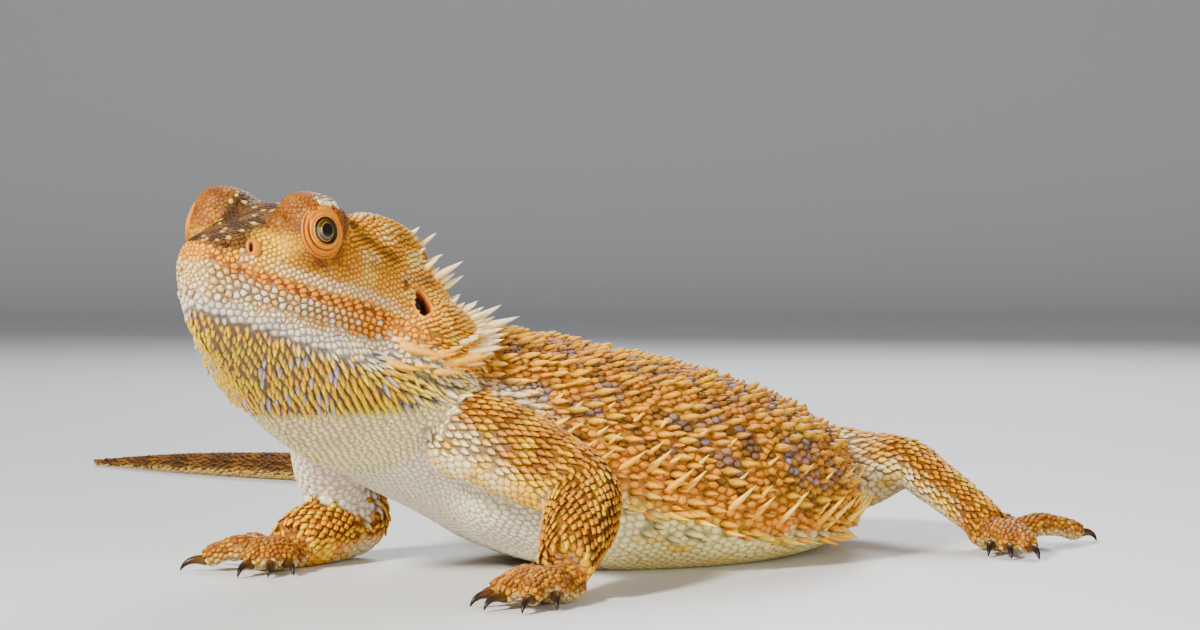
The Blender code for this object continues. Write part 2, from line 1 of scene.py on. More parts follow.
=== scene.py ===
"""Looks of the bearded dragon: one skin over the flesh, a coat of scales and spines, eyes, ears and claws.

Everything is worked out in millimetres on the body's own stations and put into meshes in metres. Surfaces
are arrays of rings: the first parameter runs from the snout towards the tail or down a limb, and the second
runs round the section. Scales are polygons that share the skin out between them, raised, keeled or pointed
along the lie.
"""

import math

import bpy
import numpy as np
from mathutils import Matrix, Vector
from mathutils.bvhtree import BVHTree
from mathutils.kdtree import KDTree


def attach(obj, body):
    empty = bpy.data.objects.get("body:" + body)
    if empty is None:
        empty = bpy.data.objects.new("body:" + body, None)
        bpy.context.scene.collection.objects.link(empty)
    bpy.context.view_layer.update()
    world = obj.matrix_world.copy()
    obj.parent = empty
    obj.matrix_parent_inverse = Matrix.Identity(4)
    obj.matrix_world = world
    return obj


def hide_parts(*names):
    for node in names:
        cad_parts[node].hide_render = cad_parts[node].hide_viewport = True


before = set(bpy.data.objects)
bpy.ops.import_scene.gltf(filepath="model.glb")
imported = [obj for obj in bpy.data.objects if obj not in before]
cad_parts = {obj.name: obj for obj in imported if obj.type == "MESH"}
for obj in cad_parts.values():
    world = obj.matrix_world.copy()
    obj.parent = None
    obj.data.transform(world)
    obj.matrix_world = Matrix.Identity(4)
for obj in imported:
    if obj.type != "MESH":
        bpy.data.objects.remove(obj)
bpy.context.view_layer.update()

MM = 0.001
UP = np.array((0.0, 0.0, 1.0))
LUMINANCE = np.array((0.3, 0.55, 0.15))
COAT_DEPTH = 0.45  # how far the skin lies inside the outer form
SKIN_GRAIN = 0.9
FLOOR_GAP = 0.05  # the least height of the skin
CHANCE = np.random.default_rng(11)
HALVES = ((1, "left"), (-1, "right"))

# ---------------- the coat's measures
SIDES = 7  # of each rounded scale
ROW_STEP = 0.87  # of a pitch from one row of scales to the next
JITTER = 0.11  # of a pitch, how far scales stray from their rows
CLOSE_SHARE, BARE_SHARE = 0.7, 0.8  # of a pitch: nearer places are dropped, wider gaps are filled
CELL_SHARE, FAR = 0.72, 99.0  # the furthest that a scale may reach, of a pitch, and no limit
# Rings of a rounded scale: reach, level and the share of its rim's colour; the rim's darker colour is
# painted shade at the scale's foot, partly the darker skin between scales.
MOUND_RINGS = ((1.0, -0.5, 1.0), (0.97, 0.3, 0.95), (0.62, 0.84, 0.4))
PATCH, SLAT_PATCH, SPINE_PATCH = 0.0014, 0.0013, 0.0015  # half widths of their places in the map
LIP, SPINY = 1, 2  # special scales
COLUMNS = {
    "place": slice(0, 3),
    "lie": slice(3, 6),
    "out": slice(6, 9),
    "share": 9,
    "angle": 10,
    "pitch": 11,
}
# Rows on the lips: height above the mouth line, step along it, pitch, and how many steps late each starts.
LIP_ROWS = (
    (0.5, 1.3, 0.95, 0.0),
    (1.45, 1.3, 0.95, 0.5),
    (-0.5, 1.2, 0.9, 0.0),
    (-1.6, 1.5, 1.3, 0.5),
    (-2.95, 1.6, 1.5, 0.0),
    (-4.4, 1.6, 1.6, 0.5),
)
# Rows of spines on the flank: turn from the middle row, length and number.
FLANK_ROWS = ((0.006, 6.4, 30), (-0.03, 4.6, 30), (0.035, 3.0, 30), (0.07, 2.6, 26))

# ---------------- the body's stations, in millimetres
# Trunk from the neck to the hips: x, y, top, widest height, underside, half width.
TRUNK = (
    (-10.0, -85.0, 57.0, 47.0, 36.0, 11.0),
    (-12.0, -73.0, 58.5, 44.0, 28.0, 16.0),
    (-13.0, -61.0, 54.5, 37.0, 18.5, 19.5),
    (-13.0, -50.0, 50.0, 30.0, 12.0, 22.5),
    (-9.0, -38.0, 48.0, 25.0, 4.5, 27.5),
    (-3.5, -22.0, 45.5, 19.0, -1.0, 33.0),
    (0.0, 0.0, 40.5, 15.0, -2.0, 37.5),
    (-5.0, 20.0, 34.5, 13.5, -2.0, 37.0),
    (-14.0, 35.0, 29.0, 12.5, -2.0, 27.5),
    (-27.0, 47.0, 25.0, 12.0, -2.0, 19.5),
    (-41.0, 56.0, 23.0, 11.0, -1.5, 14.5),
    (-54.0, 64.0, 20.0, 10.0, -1.0, 12.0),
)
# Tail from inside the hips to the tip: x, y, radius. It lies on the floor.
TAIL = (
    (-44.0, 58.0, 11.8),
    (-64.0, 72.0, 10.6),
    (-88.0, 86.0, 8.6),
    (-117.0, 94.0, 6.9),
    (-155.0, 90.5, 5.3),
    (-192.0, 79.5, 4.2),
    (-238.0, 71.5, 3.2),
    (-284.0, 70.0, 1.2),
)
# Head stations back from the snout's tip along the mouth's plane: back, half width, crown, underside.
SNOUT_TIP = np.array((-5.0, -114.0, 62.7))
HEAD_PITCH, HEAD_ROLL, HEAD_TURN = math.radians(16.0), math.radians(3.5), math.radians(12.5)
CRANIUM = (
    (0.0, 2.8, 2.6, -2.0),
    (2.5, 5.0, 5.0, -4.0),
    (8.0, 8.2, 8.4, -6.0),
    (14.0, 11.6, 12.8, -8.0),
    (20.0, 14.0, 16.6, -9.0),
    (28.0, 16.2, 18.0, -10.0),
    (36.0, 18.0, 18.7, -11.0),
    (45.0, 20.0, 18.6, -12.0),
    (52.0, 21.0, 17.0, -12.0),
    (58.0, 19.5, 13.5, -11.0),
    (64.0, 14.0, 9.0, -8.0),
    (68.0, 6.0, 3.0, -5.0),
)
BEARD = (
    (1.0, 2.6, 0.0, -3.5),
    (3.0, 4.4, 0.6, -8.8),
    (6.0, 5.8, 0.6, -12.2),
    (10.0, 7.8, 0.3, -14.8),
    (16.0, 10.6, 0.0, -16.8),
    (23.0, 14.4, -0.5, -19.4),
    (31.0, 18.4, -1.0, -22.6),
    (40.0, 22.0, -1.0, -26.0),
    (50.0, 25.0, -1.0, -28.0),
    (60.0, 27.0, -2.0, -27.0),
    (68.0, 26.0, -3.0, -22.5),
    (75.0, 17.0, -7.0, -16.5),
)
# Swellings of the head: back, aside, up, then radii along, across and up.
SWELLINGS = {
    "brow": ((20.3, 9.9, 14.1), (8.6, 6.2, 4.8)),
    "cheek": ((54.0, 17.5, -3.0), (14.0, 9.5, 11.0)),
    "temple": ((42.0, 10.0, 13.6), (14.0, 6.4, 6.4)),
    "lids": ((18.5, 11.8, 10.6), (6.0, 5.9, 6.3)),
}
EYE = SWELLINGS["lids"][0]
EYE_RADIUS = 4.4
EYE_FORWARD = math.radians(12.0)
EAR, NOSTRIL = (45.2, 20.4, 4.5), (8.2, 7.8, 4.8)
# Limbs, joints from inside the trunk to the wrist or ankle: x, y, z, radius.
LIMBS = {
    "front_left": (
        (-6.0, -54.0, 30.0, 9.0),
        (7.0, -55.0, 28.0, 9.6),
        (19.0, -51.5, 23.5, 8.8),
        (29.5, -48.5, 18.5, 7.6),
        (34.5, -52.0, 14.5, 7.4),
        (40.0, -59.0, 10.8, 6.8),
        (45.0, -66.5, 6.6, 5.4),
    ),
    "front_right": (
        (-20.0, -55.0, 31.0, 8.6),
        (-33.0, -55.5, 26.0, 8.6),
        (-39.5, -49.5, 16.0, 7.8),
        (-40.5, -43.5, 8.4, 7.4),
        (-39.0, -50.0, 6.9, 7.2),
        (-36.0, -58.0, 6.2, 6.6),
        (-33.5, -66.0, 5.0, 5.4),
    ),
    "hind_left": (
        (-24.0, 52.0, 15.0, 9.5),
        (-14.0, 57.5, 14.5, 10.5),
        (2.0, 63.5, 14.5, 9.2),
        (15.0, 65.5, 16.5, 5.8),
        (24.0, 64.0, 13.4, 5.1),
        (34.0, 62.0, 9.2, 4.8),
        (42.5, 60.5, 5.2, 4.2),
    ),
    "hind_right": (
        (-30.0, 44.0, 15.0, 9.5),
        (-43.0, 36.0, 14.5, 10.5),
        (-57.0, 28.0, 14.5, 9.2),
        (-68.0, 23.0, 16.0, 5.8),
        (-72.0, 31.0, 13.0, 5.1),
        (-73.0, 40.0, 9.0, 4.8),
        (-73.0, 49.0, 5.2, 4.2),
    ),
}
# Feet: the palm's middle, its heading from +X in degrees, half length, half width and half height.
PALMS = {
    "front_left": (46.0, -70.5, -82.0, 6.6, 6.2, 3.4),
    "front_right": (-33.0, -70.5, -100.0, 6.6, 6.2, 3.4),
    "hind_left": (42.5, 63.0, 15.0, 6.6, 6.2, 3.4),
    "hind_right": (-75.0, 53.0, 160.0, 6.6, 6.2, 3.4),
}
# Toes, the inner one first: heading in degrees and reach from the palm's middle to the claw's tip.
TOES = {
    "front_left": ((-138, 14.0), (-106, 17.0), (-86, 18.6), (-61, 19.4), (-42, 13.5)),
    "front_right": ((-24, 13.0), (-45, 15.5), (-66, 16.5), (-126, 18.8), (-172, 17.0)),
    "hind_left": ((-58, 16.5), (-44, 21.5), (-31, 24.0), (80, 28.5), (118, 19.0)),
    "hind_right": ((218, 16.5), (198, 21.0), (178, 26.0), (155, 30.0), (112, 19.0)),
}
TOE_RADII = (2.9, 2.5, 1.9)
CLAW_LENGTH, CLAW_RADIUS, CLAW_SINK = 5.2, 1.0, 0.7


# ---------------- number tools
def unit(v):
    return v / np.maximum(np.linalg.norm(v, axis=-1, keepdims=True), 1e-9)


def turns(sides):
    """Angles round a circle, the first at 0."""
    return np.linspace(0, 2 * math.pi, sides, endpoint=False)


def dot(a, b):
    return np.einsum("ij,ij->i", a, b)


def square_to(way, out):
    """The direction nearest to way that is square to out."""
    return unit(way - (way @ out) * out)


def tree_of(points):
    """A tree over the points, to look up the nearest ones."""
    tree = KDTree(len(points))
    for k, place in enumerate(points):
        tree.insert(place, k)
    tree.balance()
    return tree


def ramp(x, low, high):
    """0 below low, 1 above high, and a smooth step between; low may be the greater."""
    t = np.clip((x - low) / (high - low), 0, 1)
    return t * t * (3 - 2 * t)


def bump(x, centre, reach):
    """1 at the centre, falling smoothly to 0 at reach from it."""
    return 1 - ramp(np.abs(x - centre), 0.0, reach)


def paint(*rgb):
    """Linear colour from eight-bit values, a little richer than they name, as the finish greys it again."""
    c = np.array(rgb, float) / 255
    c = np.where(c <= 0.04045, c / 12.92, ((c + 0.055) / 1.055) ** 2.4)
    grey = c @ LUMINANCE
    return np.clip(grey + (c - grey) * np.array((1.1, 1.04, 1.42)), 0.0025, 0.95)


def mix(a, b, share):
    """From a to b by a share per row."""
    return a + (b - a) * np.atleast_1d(share)[:, None]


def ripple(points, pitch, seed):
    """Smooth wandering value from about -1 to 1: a sum of seeded plane waves of about this pitch, in mm."""
    chance = np.random.default_rng(seed)
    waves = unit(chance.normal(size=(7, 3))) * chance.uniform(0.6, 1.6, (7, 1)) * 2 * math.pi / pitch
    return np.sin(points @ waves.T + chance.uniform(0, 6.3, 7)).sum(1) / 3.2


def smooth(rows, steps):
    """Catmull-Rom curve through the rows, with this many steps between each two."""
    rows = np.array(rows, float)
    held = np.vstack([2 * rows[0] - rows[1], rows, 2 * rows[-1] - rows[-2]])
    t = np.linspace(0, 1, steps, endpoint=False)[:, None]
    spans = [
        0.5 * (2 * b + (c - a) * t + (2 * a - 5 * b + 4 * c - d) * t**2 + (3 * b - a - 3 * c + d) * t**3)
        for a, b, c, d in zip(held, held[1:], held[2:], held[3:])
    ]
    return np.vstack([*spans, rows[-1:]])


def rounded(angles, squareness):
    """Cosine and sine of a superellipse: squareness 1 is an ellipse, and less is boxier."""
    c, s = np.cos(angles), np.sin(angles)
    return np.sign(c) * np.abs(c) ** squareness, np.sign(s) * np.abs(s) ** squareness


def turn_about(axis, angle):
    return np.array(Matrix.Rotation(angle, 3, axis))


HEAD = turn_about("Z", HEAD_TURN) @ turn_about("X", -HEAD_PITCH) @ turn_about("Y", HEAD_ROLL)
HEAD_ASIDE, HEAD_BACK = HEAD[:, 0], HEAD[:, 1]


def on_head(back, aside, up):
    """Points of the head: back from the snout, aside to the left, up from the mouth's plane."""
    return SNOUT_TIP + np.stack(np.broadcast_arrays(aside, back, up), -1) @ HEAD.T


def in_head(points):
    """The same three numbers, back, aside and up, of points in the frame."""
    local = (points - SNOUT_TIP) @ HEAD
    return local[:, 1], local[:, 0], local[:, 2]


# ---------------- forms: arrays of rings x sides x 3
def trunk_form(sides=120):
    """Sections along the bent line of the back: two superellipse halves that meet at the widest height."""
    rows = smooth(TRUNK, 8)
    along = unit(np.gradient(rows[:, :2], axis=0))
    left = np.stack([along[:, 1], -along[:, 0], np.zeros(len(rows))], 1)
    angles = turns(sides)
    (back_c, back_s), (belly_c, belly_s) = rounded(angles, 0.92), rounded(angles, 0.72)
    is_back = np.sin(angles) >= 0
    x, y, top, wide, under, half = rows.T[:, :, None]
    across = half * np.where(is_back, back_c, belly_c)
    height = np.where(is_back, wide + (top - wide) * back_s, wide + (wide - under) * belly_s)
    base = np.concatenate([x, y, np.zeros_like(x)], 1)
    return base[:, None] + across[..., None] * left[:, None] + height[..., None] * UP


def head_form(stations, crown_squareness, chin_squareness, sides=96):
    """Sections across the head: crown and chin halves of their own squareness."""
    rows = smooth(stations, 6)
    angles = turns(sides)
    crown_c, crown_s = rounded(angles, crown_squareness)
    chin_c, chin_s = rounded(angles, chin_squareness)
    is_crown = np.sin(angles) >= 0
    back, half, upper, lower = rows.T[:, :, None]
    middle = np.where(upper < 2, 0.5 * (upper + lower), 0.0)
    across = half * np.where(is_crown, crown_c, chin_c)
    height = middle + np.where(is_crown, (upper - middle) * crown_s, (middle - lower) * chin_s)
    return on_head(back, across, height)


def ellipsoid(long, wide, high, end, rings, sides=48):
    """Length, width and height of an ellipsoid's rings, left open this far from each end, in radians."""
    lean, angles = np.linspace(end, math.pi - end, rings)[:, None], turns(sides)
    return (
        -long * np.cos(lean) + 0 * angles,
        wide * np.sin(lean) * np.cos(angles),
        high * np.sin(lean) * np.sin(angles),
    )


def swelling_form(place, radii, side):
    """An ellipsoid as rings across the head's length."""
    along, across, height = ellipsoid(*radii, 0.12, 25)
    return on_head(place[0] + along, side * place[1] + across, place[2] + height)


def tube_form(path, radii, sides):
    """A circle carried along a path, turned as little as possible from one ring to the next."""
    path, radii = np.array(path, float), np.array(radii, float)
    along = unit(np.gradient(path, axis=0))
    side = np.cross(along[0], UP)
    angles = turns(sides)
    rings = []
    for place, ahead, radius in zip(path, along, radii):
        side = square_to(side, ahead)
        circle = np.cos(angles)[:, None] * side + np.sin(angles)[:, None] * np.cross(side, ahead)
        rings.append(place + radius * circle)
    return np.array(rings)


def palm_form(limb):
    """A flat ellipsoid as rings along the palm."""
    x, y, heading, *halves = PALMS[limb]
    local = np.stack(ellipsoid(*halves, 0.15, 21), -1)
    return np.array((x, y, 0.86 * halves[-1])) + local @ turn_about("Z", math.radians(heading)).T


def toe_lines(limb):
    """For each toe its path from the palm to the claw's root, the radii and the way it points."""
    at = np.array((*PALMS[limb][:2], 0.0))
    lines = []
    for heading, reach in TOES[limb]:
        ahead = np.array((math.cos(math.radians(heading)), math.sin(math.radians(heading)), 0.0))
        length = reach - CLAW_LENGTH + CLAW_SINK
        shares = ((0.12, 2.8, 0), (0.45, 4.6, 0), (0.72, 4.0, 1), (0.9, 2.9, 1), (1.0, 2.2, 2))
        path = [at + length * share * ahead + np.array((0, 0, height)) for share, height, _ in shares]
        radii = [TOE_RADII[thick] for _, _, thick in shares]
        lines.append((smooth(path, 5), smooth(np.array(radii)[:, None], 5)[:, 0], ahead))
    return lines


def all_forms():
    """Every form of the flesh by name."""
    tail = smooth(TAIL, 8)
    forms = {"cranium": head_form(CRANIUM, 0.72, 0.9), "beard": head_form(BEARD, 1.0, 1.6)}
    for name, (place, radii) in SWELLINGS.items():
        for side, word in HALVES:
            forms[f"{name}_{word}"] = swelling_form(place, radii, side)
    forms["trunk"] = trunk_form()
    forms["tail"] = tube_form(np.column_stack([tail[:, :2], 0.93 * tail[:, 2]]), tail[:, 2], 64)
    for limb in LIMBS:
        rows = smooth(LIMBS[limb], 7)
        forms[limb] = tube_form(rows[:, :3], rows[:, 3], 48)
        forms[f"palm_{limb}"] = palm_form(limb)
        for k, (path, radii, _) in enumerate(toe_lines(limb)):
            forms[f"toe_{limb}_{k + 1}"] = tube_form(path, radii, 28)
    return forms


# ---------------- meshes
def add_mesh(name, points, faces, material, colours=None, patches=None):
    """A piece at the origin from points in millimetres and faces of any size.

    It may carry one linear colour per vertex, "Marking", and one place per vertex in the map "OFBake".
    """
    mesh = bpy.data.meshes.new(name)
    mesh.from_pydata((np.asarray(points) * MM).tolist(), [], faces)
    mesh.polygons.foreach_set("use_smooth", np.full(len(mesh.polygons), True))
    mesh.update()
    mesh.materials.append(material)
    if colours is not None:
        put_colours(mesh, colours)
    if patches is not None:
        corners = np.empty(len(mesh.loops), dtype=np.int32)
        mesh.loops.foreach_get("vertex_index", corners)
        mesh.uv_layers.new(name="OFBake").data.foreach_set("uv", patches[corners].ravel())
    piece = bpy.data.objects.new(name, mesh)
    bpy.context.scene.collection.objects.link(piece)
    return piece


def grid_faces(rings, sides, closed=True):
    """Quads between neighbouring rings; the sides run round when closed."""
    i = np.arange(rings - 1)[:, None] * sides
    j = np.arange(sides if closed else sides - 1)[None]
    k = (j + 1) % sides
    return np.stack(np.broadcast_arrays(i + j, i + k, i + sides + k, i + sides + j), -1).reshape(-1, 4)


def joined(parts):
    """Points and faces of several meshes as one."""
    faces, start = [], 0
    for points, some in parts:
        faces += [[start + i for i in face] for face in some]
        start += len(points)
    return np.vstack([points for points, _ in parts]), faces


def repeated(faces, points_each, count):
    """The same faces for each of many copies in a row."""
    faces = np.asarray(faces)
    return (faces + points_each * np.arange(count)[:, None, None]).reshape(-1, faces.shape[1]).tolist()


def closed_form(rings):
    """Points and faces of a form with both ends capped, the faces turned outwards by its signed volume."""
    count, sides = rings.shape[:2]
    points = rings.reshape(-1, 3)
    quads = grid_faces(count, sides)
    a, b, c, d = (points[quads[:, k]] for k in range(4))
    volume = np.einsum("ij,ij->", a, np.cross(b, c)) + np.einsum("ij,ij->", a, np.cross(c, d))
    first, last = np.arange(sides), np.arange(sides) + (count - 1) * sides
    faces = [*quads.tolist(), first[::-1].tolist(), last.tolist()]
    if volume < 0:
        faces = [face[::-1] for face in faces]
    return points, faces


def read_vectors(mesh, which, scale=1.0):
    """All vertices' "co" or "normal" as rows."""
    values = np.empty(len(mesh.vertices) * 3)
    mesh.vertices.foreach_get(which, values)
    return values.reshape(-1, 3) / scale


def put_colours(mesh, colours):
    """Stores one linear colour per vertex as the attribute "Marking"."""
    layer = mesh.color_attributes.new("Marking", "FLOAT_COLOR", "POINT")
    layer.data.foreach_set("color", np.column_stack([colours, np.ones(len(colours))]).ravel())


# ---------------- the skin
def grow_skin(forms, material):
    """All forms grown together on a fine grid and softened, then drawn in by the coat's depth."""
    skin = add_mesh("skin", *joined([closed_form(rings) for rings in forms.values()]), material)
    grow = skin.modifiers.new("grow", "REMESH")
    grow.mode = "VOXEL"
    grow.voxel_size = SKIN_GRAIN * MM
    soft = skin.modifiers.new("soft", "SMOOTH")
    soft.factor = 0.5
    soft.iterations = 4
    bpy.context.view_layer.update()
    grown = bpy.data.meshes.new_from_object(skin.evaluated_get(bpy.context.evaluated_depsgraph_get()))
    old = skin.data
    skin.modifiers.clear()
    skin.data = grown
    grown.name = "skin"
    bpy.data.meshes.remove(old)
    points = read_vectors(grown, "co", MM) - COAT_DEPTH * read_vectors(grown, "normal")
    points[:, 2] = np.maximum(points[:, 2], FLOOR_GAP)
    grown.vertices.foreach_set("co", (points * MM).ravel())
    grown.update()
    grown.polygons.foreach_set("use_smooth", np.full(len(grown.polygons), True))
    return skin


class Surface:
    """The skin as a thing to root on: nearest place and outward direction, in millimetres."""

    def __init__(self, mesh):
        self.points = read_vectors(mesh, "co", MM)
        self.normals = read_vectors(mesh, "normal")
        corners = [tuple(p.vertices) for p in mesh.polygons]
        self.tree = BVHTree.FromPolygons([Vector(p) for p in self.points], corners)
        self.known = tree_of(self.points)

    def rooted(self, places):
        """Nearest skin points, their smooth normals and how far off the places were."""
        found = [self.tree.find_nearest(Vector(p)) for p in places]
        on_skin = np.array([f[0] for f in found])
        nearest = [self.known.find(Vector(p))[1] for p in on_skin]
        return on_skin, self.normals[nearest], np.array([f[3] for f in found])

    def relief(self, name, frame_there, x, y, level, colours, material):
        """A grid laid over the skin: x and y in the plane of the place's frame, level along its way out."""
        centre, out, first, second = frame_there
        flat = (centre + x[..., None] * first + y[..., None] * second).reshape(-1, 3)
        laid = flat + ((self.rooted(flat)[0] - flat) @ out)[:, None] * out
        points = laid.reshape(level.shape + (3,)) + level[..., None] * out
        quads = grid_faces(*level.shape)
        if np.cross(first, second) @ out < 0:
            quads = quads[:, ::-1]
        return add_mesh(name, points.reshape(-1, 3), quads.tolist(), material, colours)


# ---------------- rows of scales over one form
def scale_rows(rings, pitch_at):
    """Staggered rows over a form, one every ROW_STEP of a pitch along it, with their places a pitch apart.

    pitch_at gives the pitch in mm for a ring's share of the length. Returns places, the way the form runs,
    the outward way, the share along it and the angle round it.
    """
    middle = rings.mean(1)
    girth_points = np.concatenate([rings, rings[:, :1]], 1)
    steps = np.linalg.norm(np.diff(girth_points, axis=1), axis=2)
    run = np.linalg.norm(np.diff(rings, axis=0), axis=2).mean(1)
    length = np.concatenate([[0], np.cumsum(run)])
    rows, at, stagger = [], 0.3 * pitch_at(0.0), 0
    count, sides = rings.shape[:2]
    while at < length[-1]:
        f = np.interp(at, length, np.arange(count))
        i = min(int(f), count - 2)
        t = f - i
        ring = (1 - t) * rings[i] + t * rings[i + 1]
        round_it = np.concatenate([[0], np.cumsum((1 - t) * steps[i] + t * steps[i + 1])])
        pitch = pitch_at(f / (count - 1))
        number = max(5, int(round(round_it[-1] / pitch)))
        where = (np.arange(number) + 0.25 + 0.5 * (stagger % 2)) / number * round_it[-1]
        angle = np.interp(where, round_it, np.arange(sides + 1))
        j = np.minimum(angle.astype(int), sides - 1)
        u = (angle - j)[:, None]
        place = (1 - u) * ring[j] + u * ring[(j + 1) % sides]
        ahead = unit(rings[i + 1][j] - rings[i][j])
        round_way = ring[(j + 1) % sides] - ring[j]
        out = unit(np.cross(round_way, ahead))
        centre = (1 - t) * middle[i] + t * middle[i + 1]
        out *= np.sign(np.einsum("ij,ij->i", out, place - centre))[:, None]
        share = np.full(number, f / (count - 1))
        rows.append(np.column_stack([place, ahead, out, share, angle / sides, np.full(number, pitch)]))
        at += ROW_STEP * pitch
        stagger += 1
    return np.vstack(rows)


PITCH = {
    "cranium": lambda s: 0.95 + 0.1 * ramp(s, 0.02, 0.3),
    "beard": lambda s: 1.5,
    "brow": lambda s: 0.95,
    "cheek": lambda s: 1.05,
    "temple": lambda s: 1.05,
    "lids": lambda s: 0.85,
    "trunk": lambda s: 1.5 + 0.25 * ramp(s, 0.25, 0.55),
    "tail": lambda s: 2.2 - 1.1 * s,
    "front": lambda s: 1.75,
    "hind": lambda s: 1.8 - 0.25 * ramp(s, 0.5, 0.9),
    "palm": lambda s: 1.35,
    "toe": lambda s: 1.2,
}


def as_roots(rows, owner):
    """Rows of scale_rows as named arrays, with the number of the form that each stands on."""
    return {**{key: rows[:, where] for key, where in COLUMNS.items()}, "form": owner}


def first_places(forms):
    """Staggered rows over every form, one array per value."""
    found = [scale_rows(rings, PITCH[name.split("_")[0]]) for name, rings in forms.items()]
    return as_roots(np.vstack(found), np.repeat(np.arange(len(found)), [len(rows) for rows in found]))


def keep(roots, mask):
    return {key: values[mask] for key, values in roots.items()}


def thinned(roots, order, spare):
    """Drops each place that lies within this share of a pitch of one that comes before it in the order."""
    tree = tree_of(roots["place"])
    rank = np.empty(len(order), int)
    rank[order] = np.arange(len(order))
    gone = np.zeros(len(order), bool)
    for k in order:
        if gone[k]:
            continue
        for _, other, _ in tree.find_range(roots["place"][k], spare * roots["pitch"][k]):
            if rank[other] > rank[k]:
                gone[other] = True
    return keep(roots, ~gone)


def filled(roots, surface):
    """Adds places wherever the skin is bare, each taking after the nearest scale."""
    tree = tree_of(roots["place"])
    found = [tree.find(p) for p in surface.points]
    near = np.array([f[1] for f in found])
    off = np.array([f[2] for f in found])
    bare = np.flatnonzero(off > BARE_SHARE * roots["pitch"][near])
    if not len(bare):
        return roots
    extra = keep(roots, near[bare])
    step = surface.points[bare] - extra["place"]
    extra["place"] = surface.points[bare]
    extra["out"] = surface.normals[bare]
    extra["share"] = extra["share"] + np.clip(dot(step, extra["lie"]), -2, 2) * 0.004
    extra["angle"] = extra["angle"] + CHANCE.uniform(-0.006, 0.006, len(bare))
    extra = thinned(extra, CHANCE.permutation(len(bare)), BARE_SHARE)
    return {key: np.concatenate([roots[key], extra[key]]) for key in roots}


# ---------------- shapes of scales
def cell_outlines(roots):
    """How far each scale reaches in each direction: half way to every neighbour, by their sizes.

    It goes no further than a share of its own pitch. Direction 0 is across, and a quarter turn on is along
    the lie.
    """
    tree = tree_of(roots["place"])
    near = np.array([[f[1] for f in tree.find_n(p, 11)] for p in roots["place"]])[:, 1:]
    along = unit(roots["lie"] - dot(roots["lie"], roots["out"])[:, None] * roots["out"])
    across = np.cross(along, roots["out"])
    step = roots["place"][near] - roots["place"][:, None]
    flat = np.stack([np.einsum("ikj,ij->ik", step, across), np.einsum("ikj,ij->ik", step, along)], -1)
    weight = roots["pitch"][:, None] / (roots["pitch"][:, None] + roots["pitch"][near])
    facing = np.einsum("ikj,ij->ik", roots["out"][near], roots["out"]) > -0.2
    angles = turns(SIDES)
    toward = flat @ np.stack([np.cos(angles), np.sin(angles)])
    gap = (flat**2).sum(-1)[..., None] * weight[..., None]
    reach = np.where((toward > 0.05) & facing[..., None], gap / np.maximum(toward, 0.05), FAR).min(1)
    stretch = 1 + (roots["stretch"][:, None] - 1) * np.sin(angles) ** 2
    furthest = CELL_SHARE * roots["pitch"][:, None] * stretch
    return {"reach": np.minimum(reach, furthest), "across": across, "along": along}


def set_on(roots, look, local):
    """Local points across, along and out of each scale, brought to its root and never below the floor."""
    each = (slice(None),) + (None,) * (local.ndim - 2)
    points = roots["place"][each] + local[..., :1] * look["across"][each]
    points = points + local[..., 1:2] * look["along"][each] + local[..., 2:] * roots["out"][each]
    points[..., 2] = np.maximum(points[..., 2], 0.0)
    return points.reshape(-1, 3)


def mounds(roots, look, patches):
    """Points, faces, colours and patch places of scales that are closed polygon mounds on their own roots.

    Rings go from the rim under the skin over a shoulder to the top. look gives, per scale: height, tilt
    (rise of the tip), point (stretch of the tip), keel (ridge along the middle), groove (share left open
    round it), and the colours of body, rim and tip. The darker rim colour, fading out towards the top, is
    painted shade at the scale's foot, partly the darker skin between scales.
    """
    count = len(look["reach"])
    angles = turns(SIDES)
    round_it = np.stack([np.cos(angles), np.sin(angles)], -1)
    height, tilt, point, keel, tip_share = (
        look[key][:, None] for key in ("height", "tilt", "point", "keel", "tip_share")
    )
    slim = 1 - 0.22 * np.clip(point, 0, 1.5)
    stretch = 1 + point * np.maximum(np.sin(angles), 0) ** 5
    size = roots["pitch"][:, None]
    layers, tints, flats = [], [], []
    for radial, level, edge in MOUND_RINGS:
        is_rim = radial == 1.0
        r = radial * look["reach"] * (1 - look["groove"][:, None]) * stretch
        x, y = r * np.cos(angles) * slim, r * np.sin(angles)
        if is_rim:
            z = np.minimum(level * height, -0.25) + 0.8 * tilt * np.clip(y / size, 0, 1.5)
        else:
            ridge = keel * np.maximum(0, 1 - np.abs(x) / (0.3 * size))
            z = level * height + ridge + tilt * np.clip(y / size + 0.45, 0, 1.5)
        layers.append(np.stack([x, y, z], -1))
        # painted shade: each ring takes its share of the darker rim colour, so the scale darkens towards
        # its foot; partly the darker skin between scales
        tint = look["body"][:, None] * (1 - edge) + look["rim"][:, None] * edge
        tipward = np.clip(y / size - 0.1, 0, 0.6) / 0.6
        share = (tip_share * tipward * (not is_rim))[..., None]
        tints.append(tint * (1 - share) + look["tip"][:, None] * share)
        flats.append(np.broadcast_to(radial * round_it, (count, SIDES, 2)))
    top = (height + keel + tilt * 0.5)[..., None] * UP
    points = set_on(roots, look, np.concatenate([*layers, top], 1))
    tint = np.concatenate([*tints, look["body"][:, None]], 1).reshape(-1, 3)
    flat = np.concatenate([*flats, np.zeros((count, 1, 2))], 1)
    last, each = (len(MOUND_RINGS) - 1) * SIDES, len(MOUND_RINGS) * SIDES + 1
    j = np.arange(SIDES)
    fans = np.stack([j + last, (j + 1) % SIDES + last, np.full(SIDES, each - 1)], -1)
    faces = repeated(grid_faces(len(MOUND_RINGS), SIDES), each, count)
    faces += repeated(fans, each, count) + repeated([j[::-1]], each, count)
    return points, faces, tint, (patches[:, None] + PATCH * flat).reshape(-1, 2)


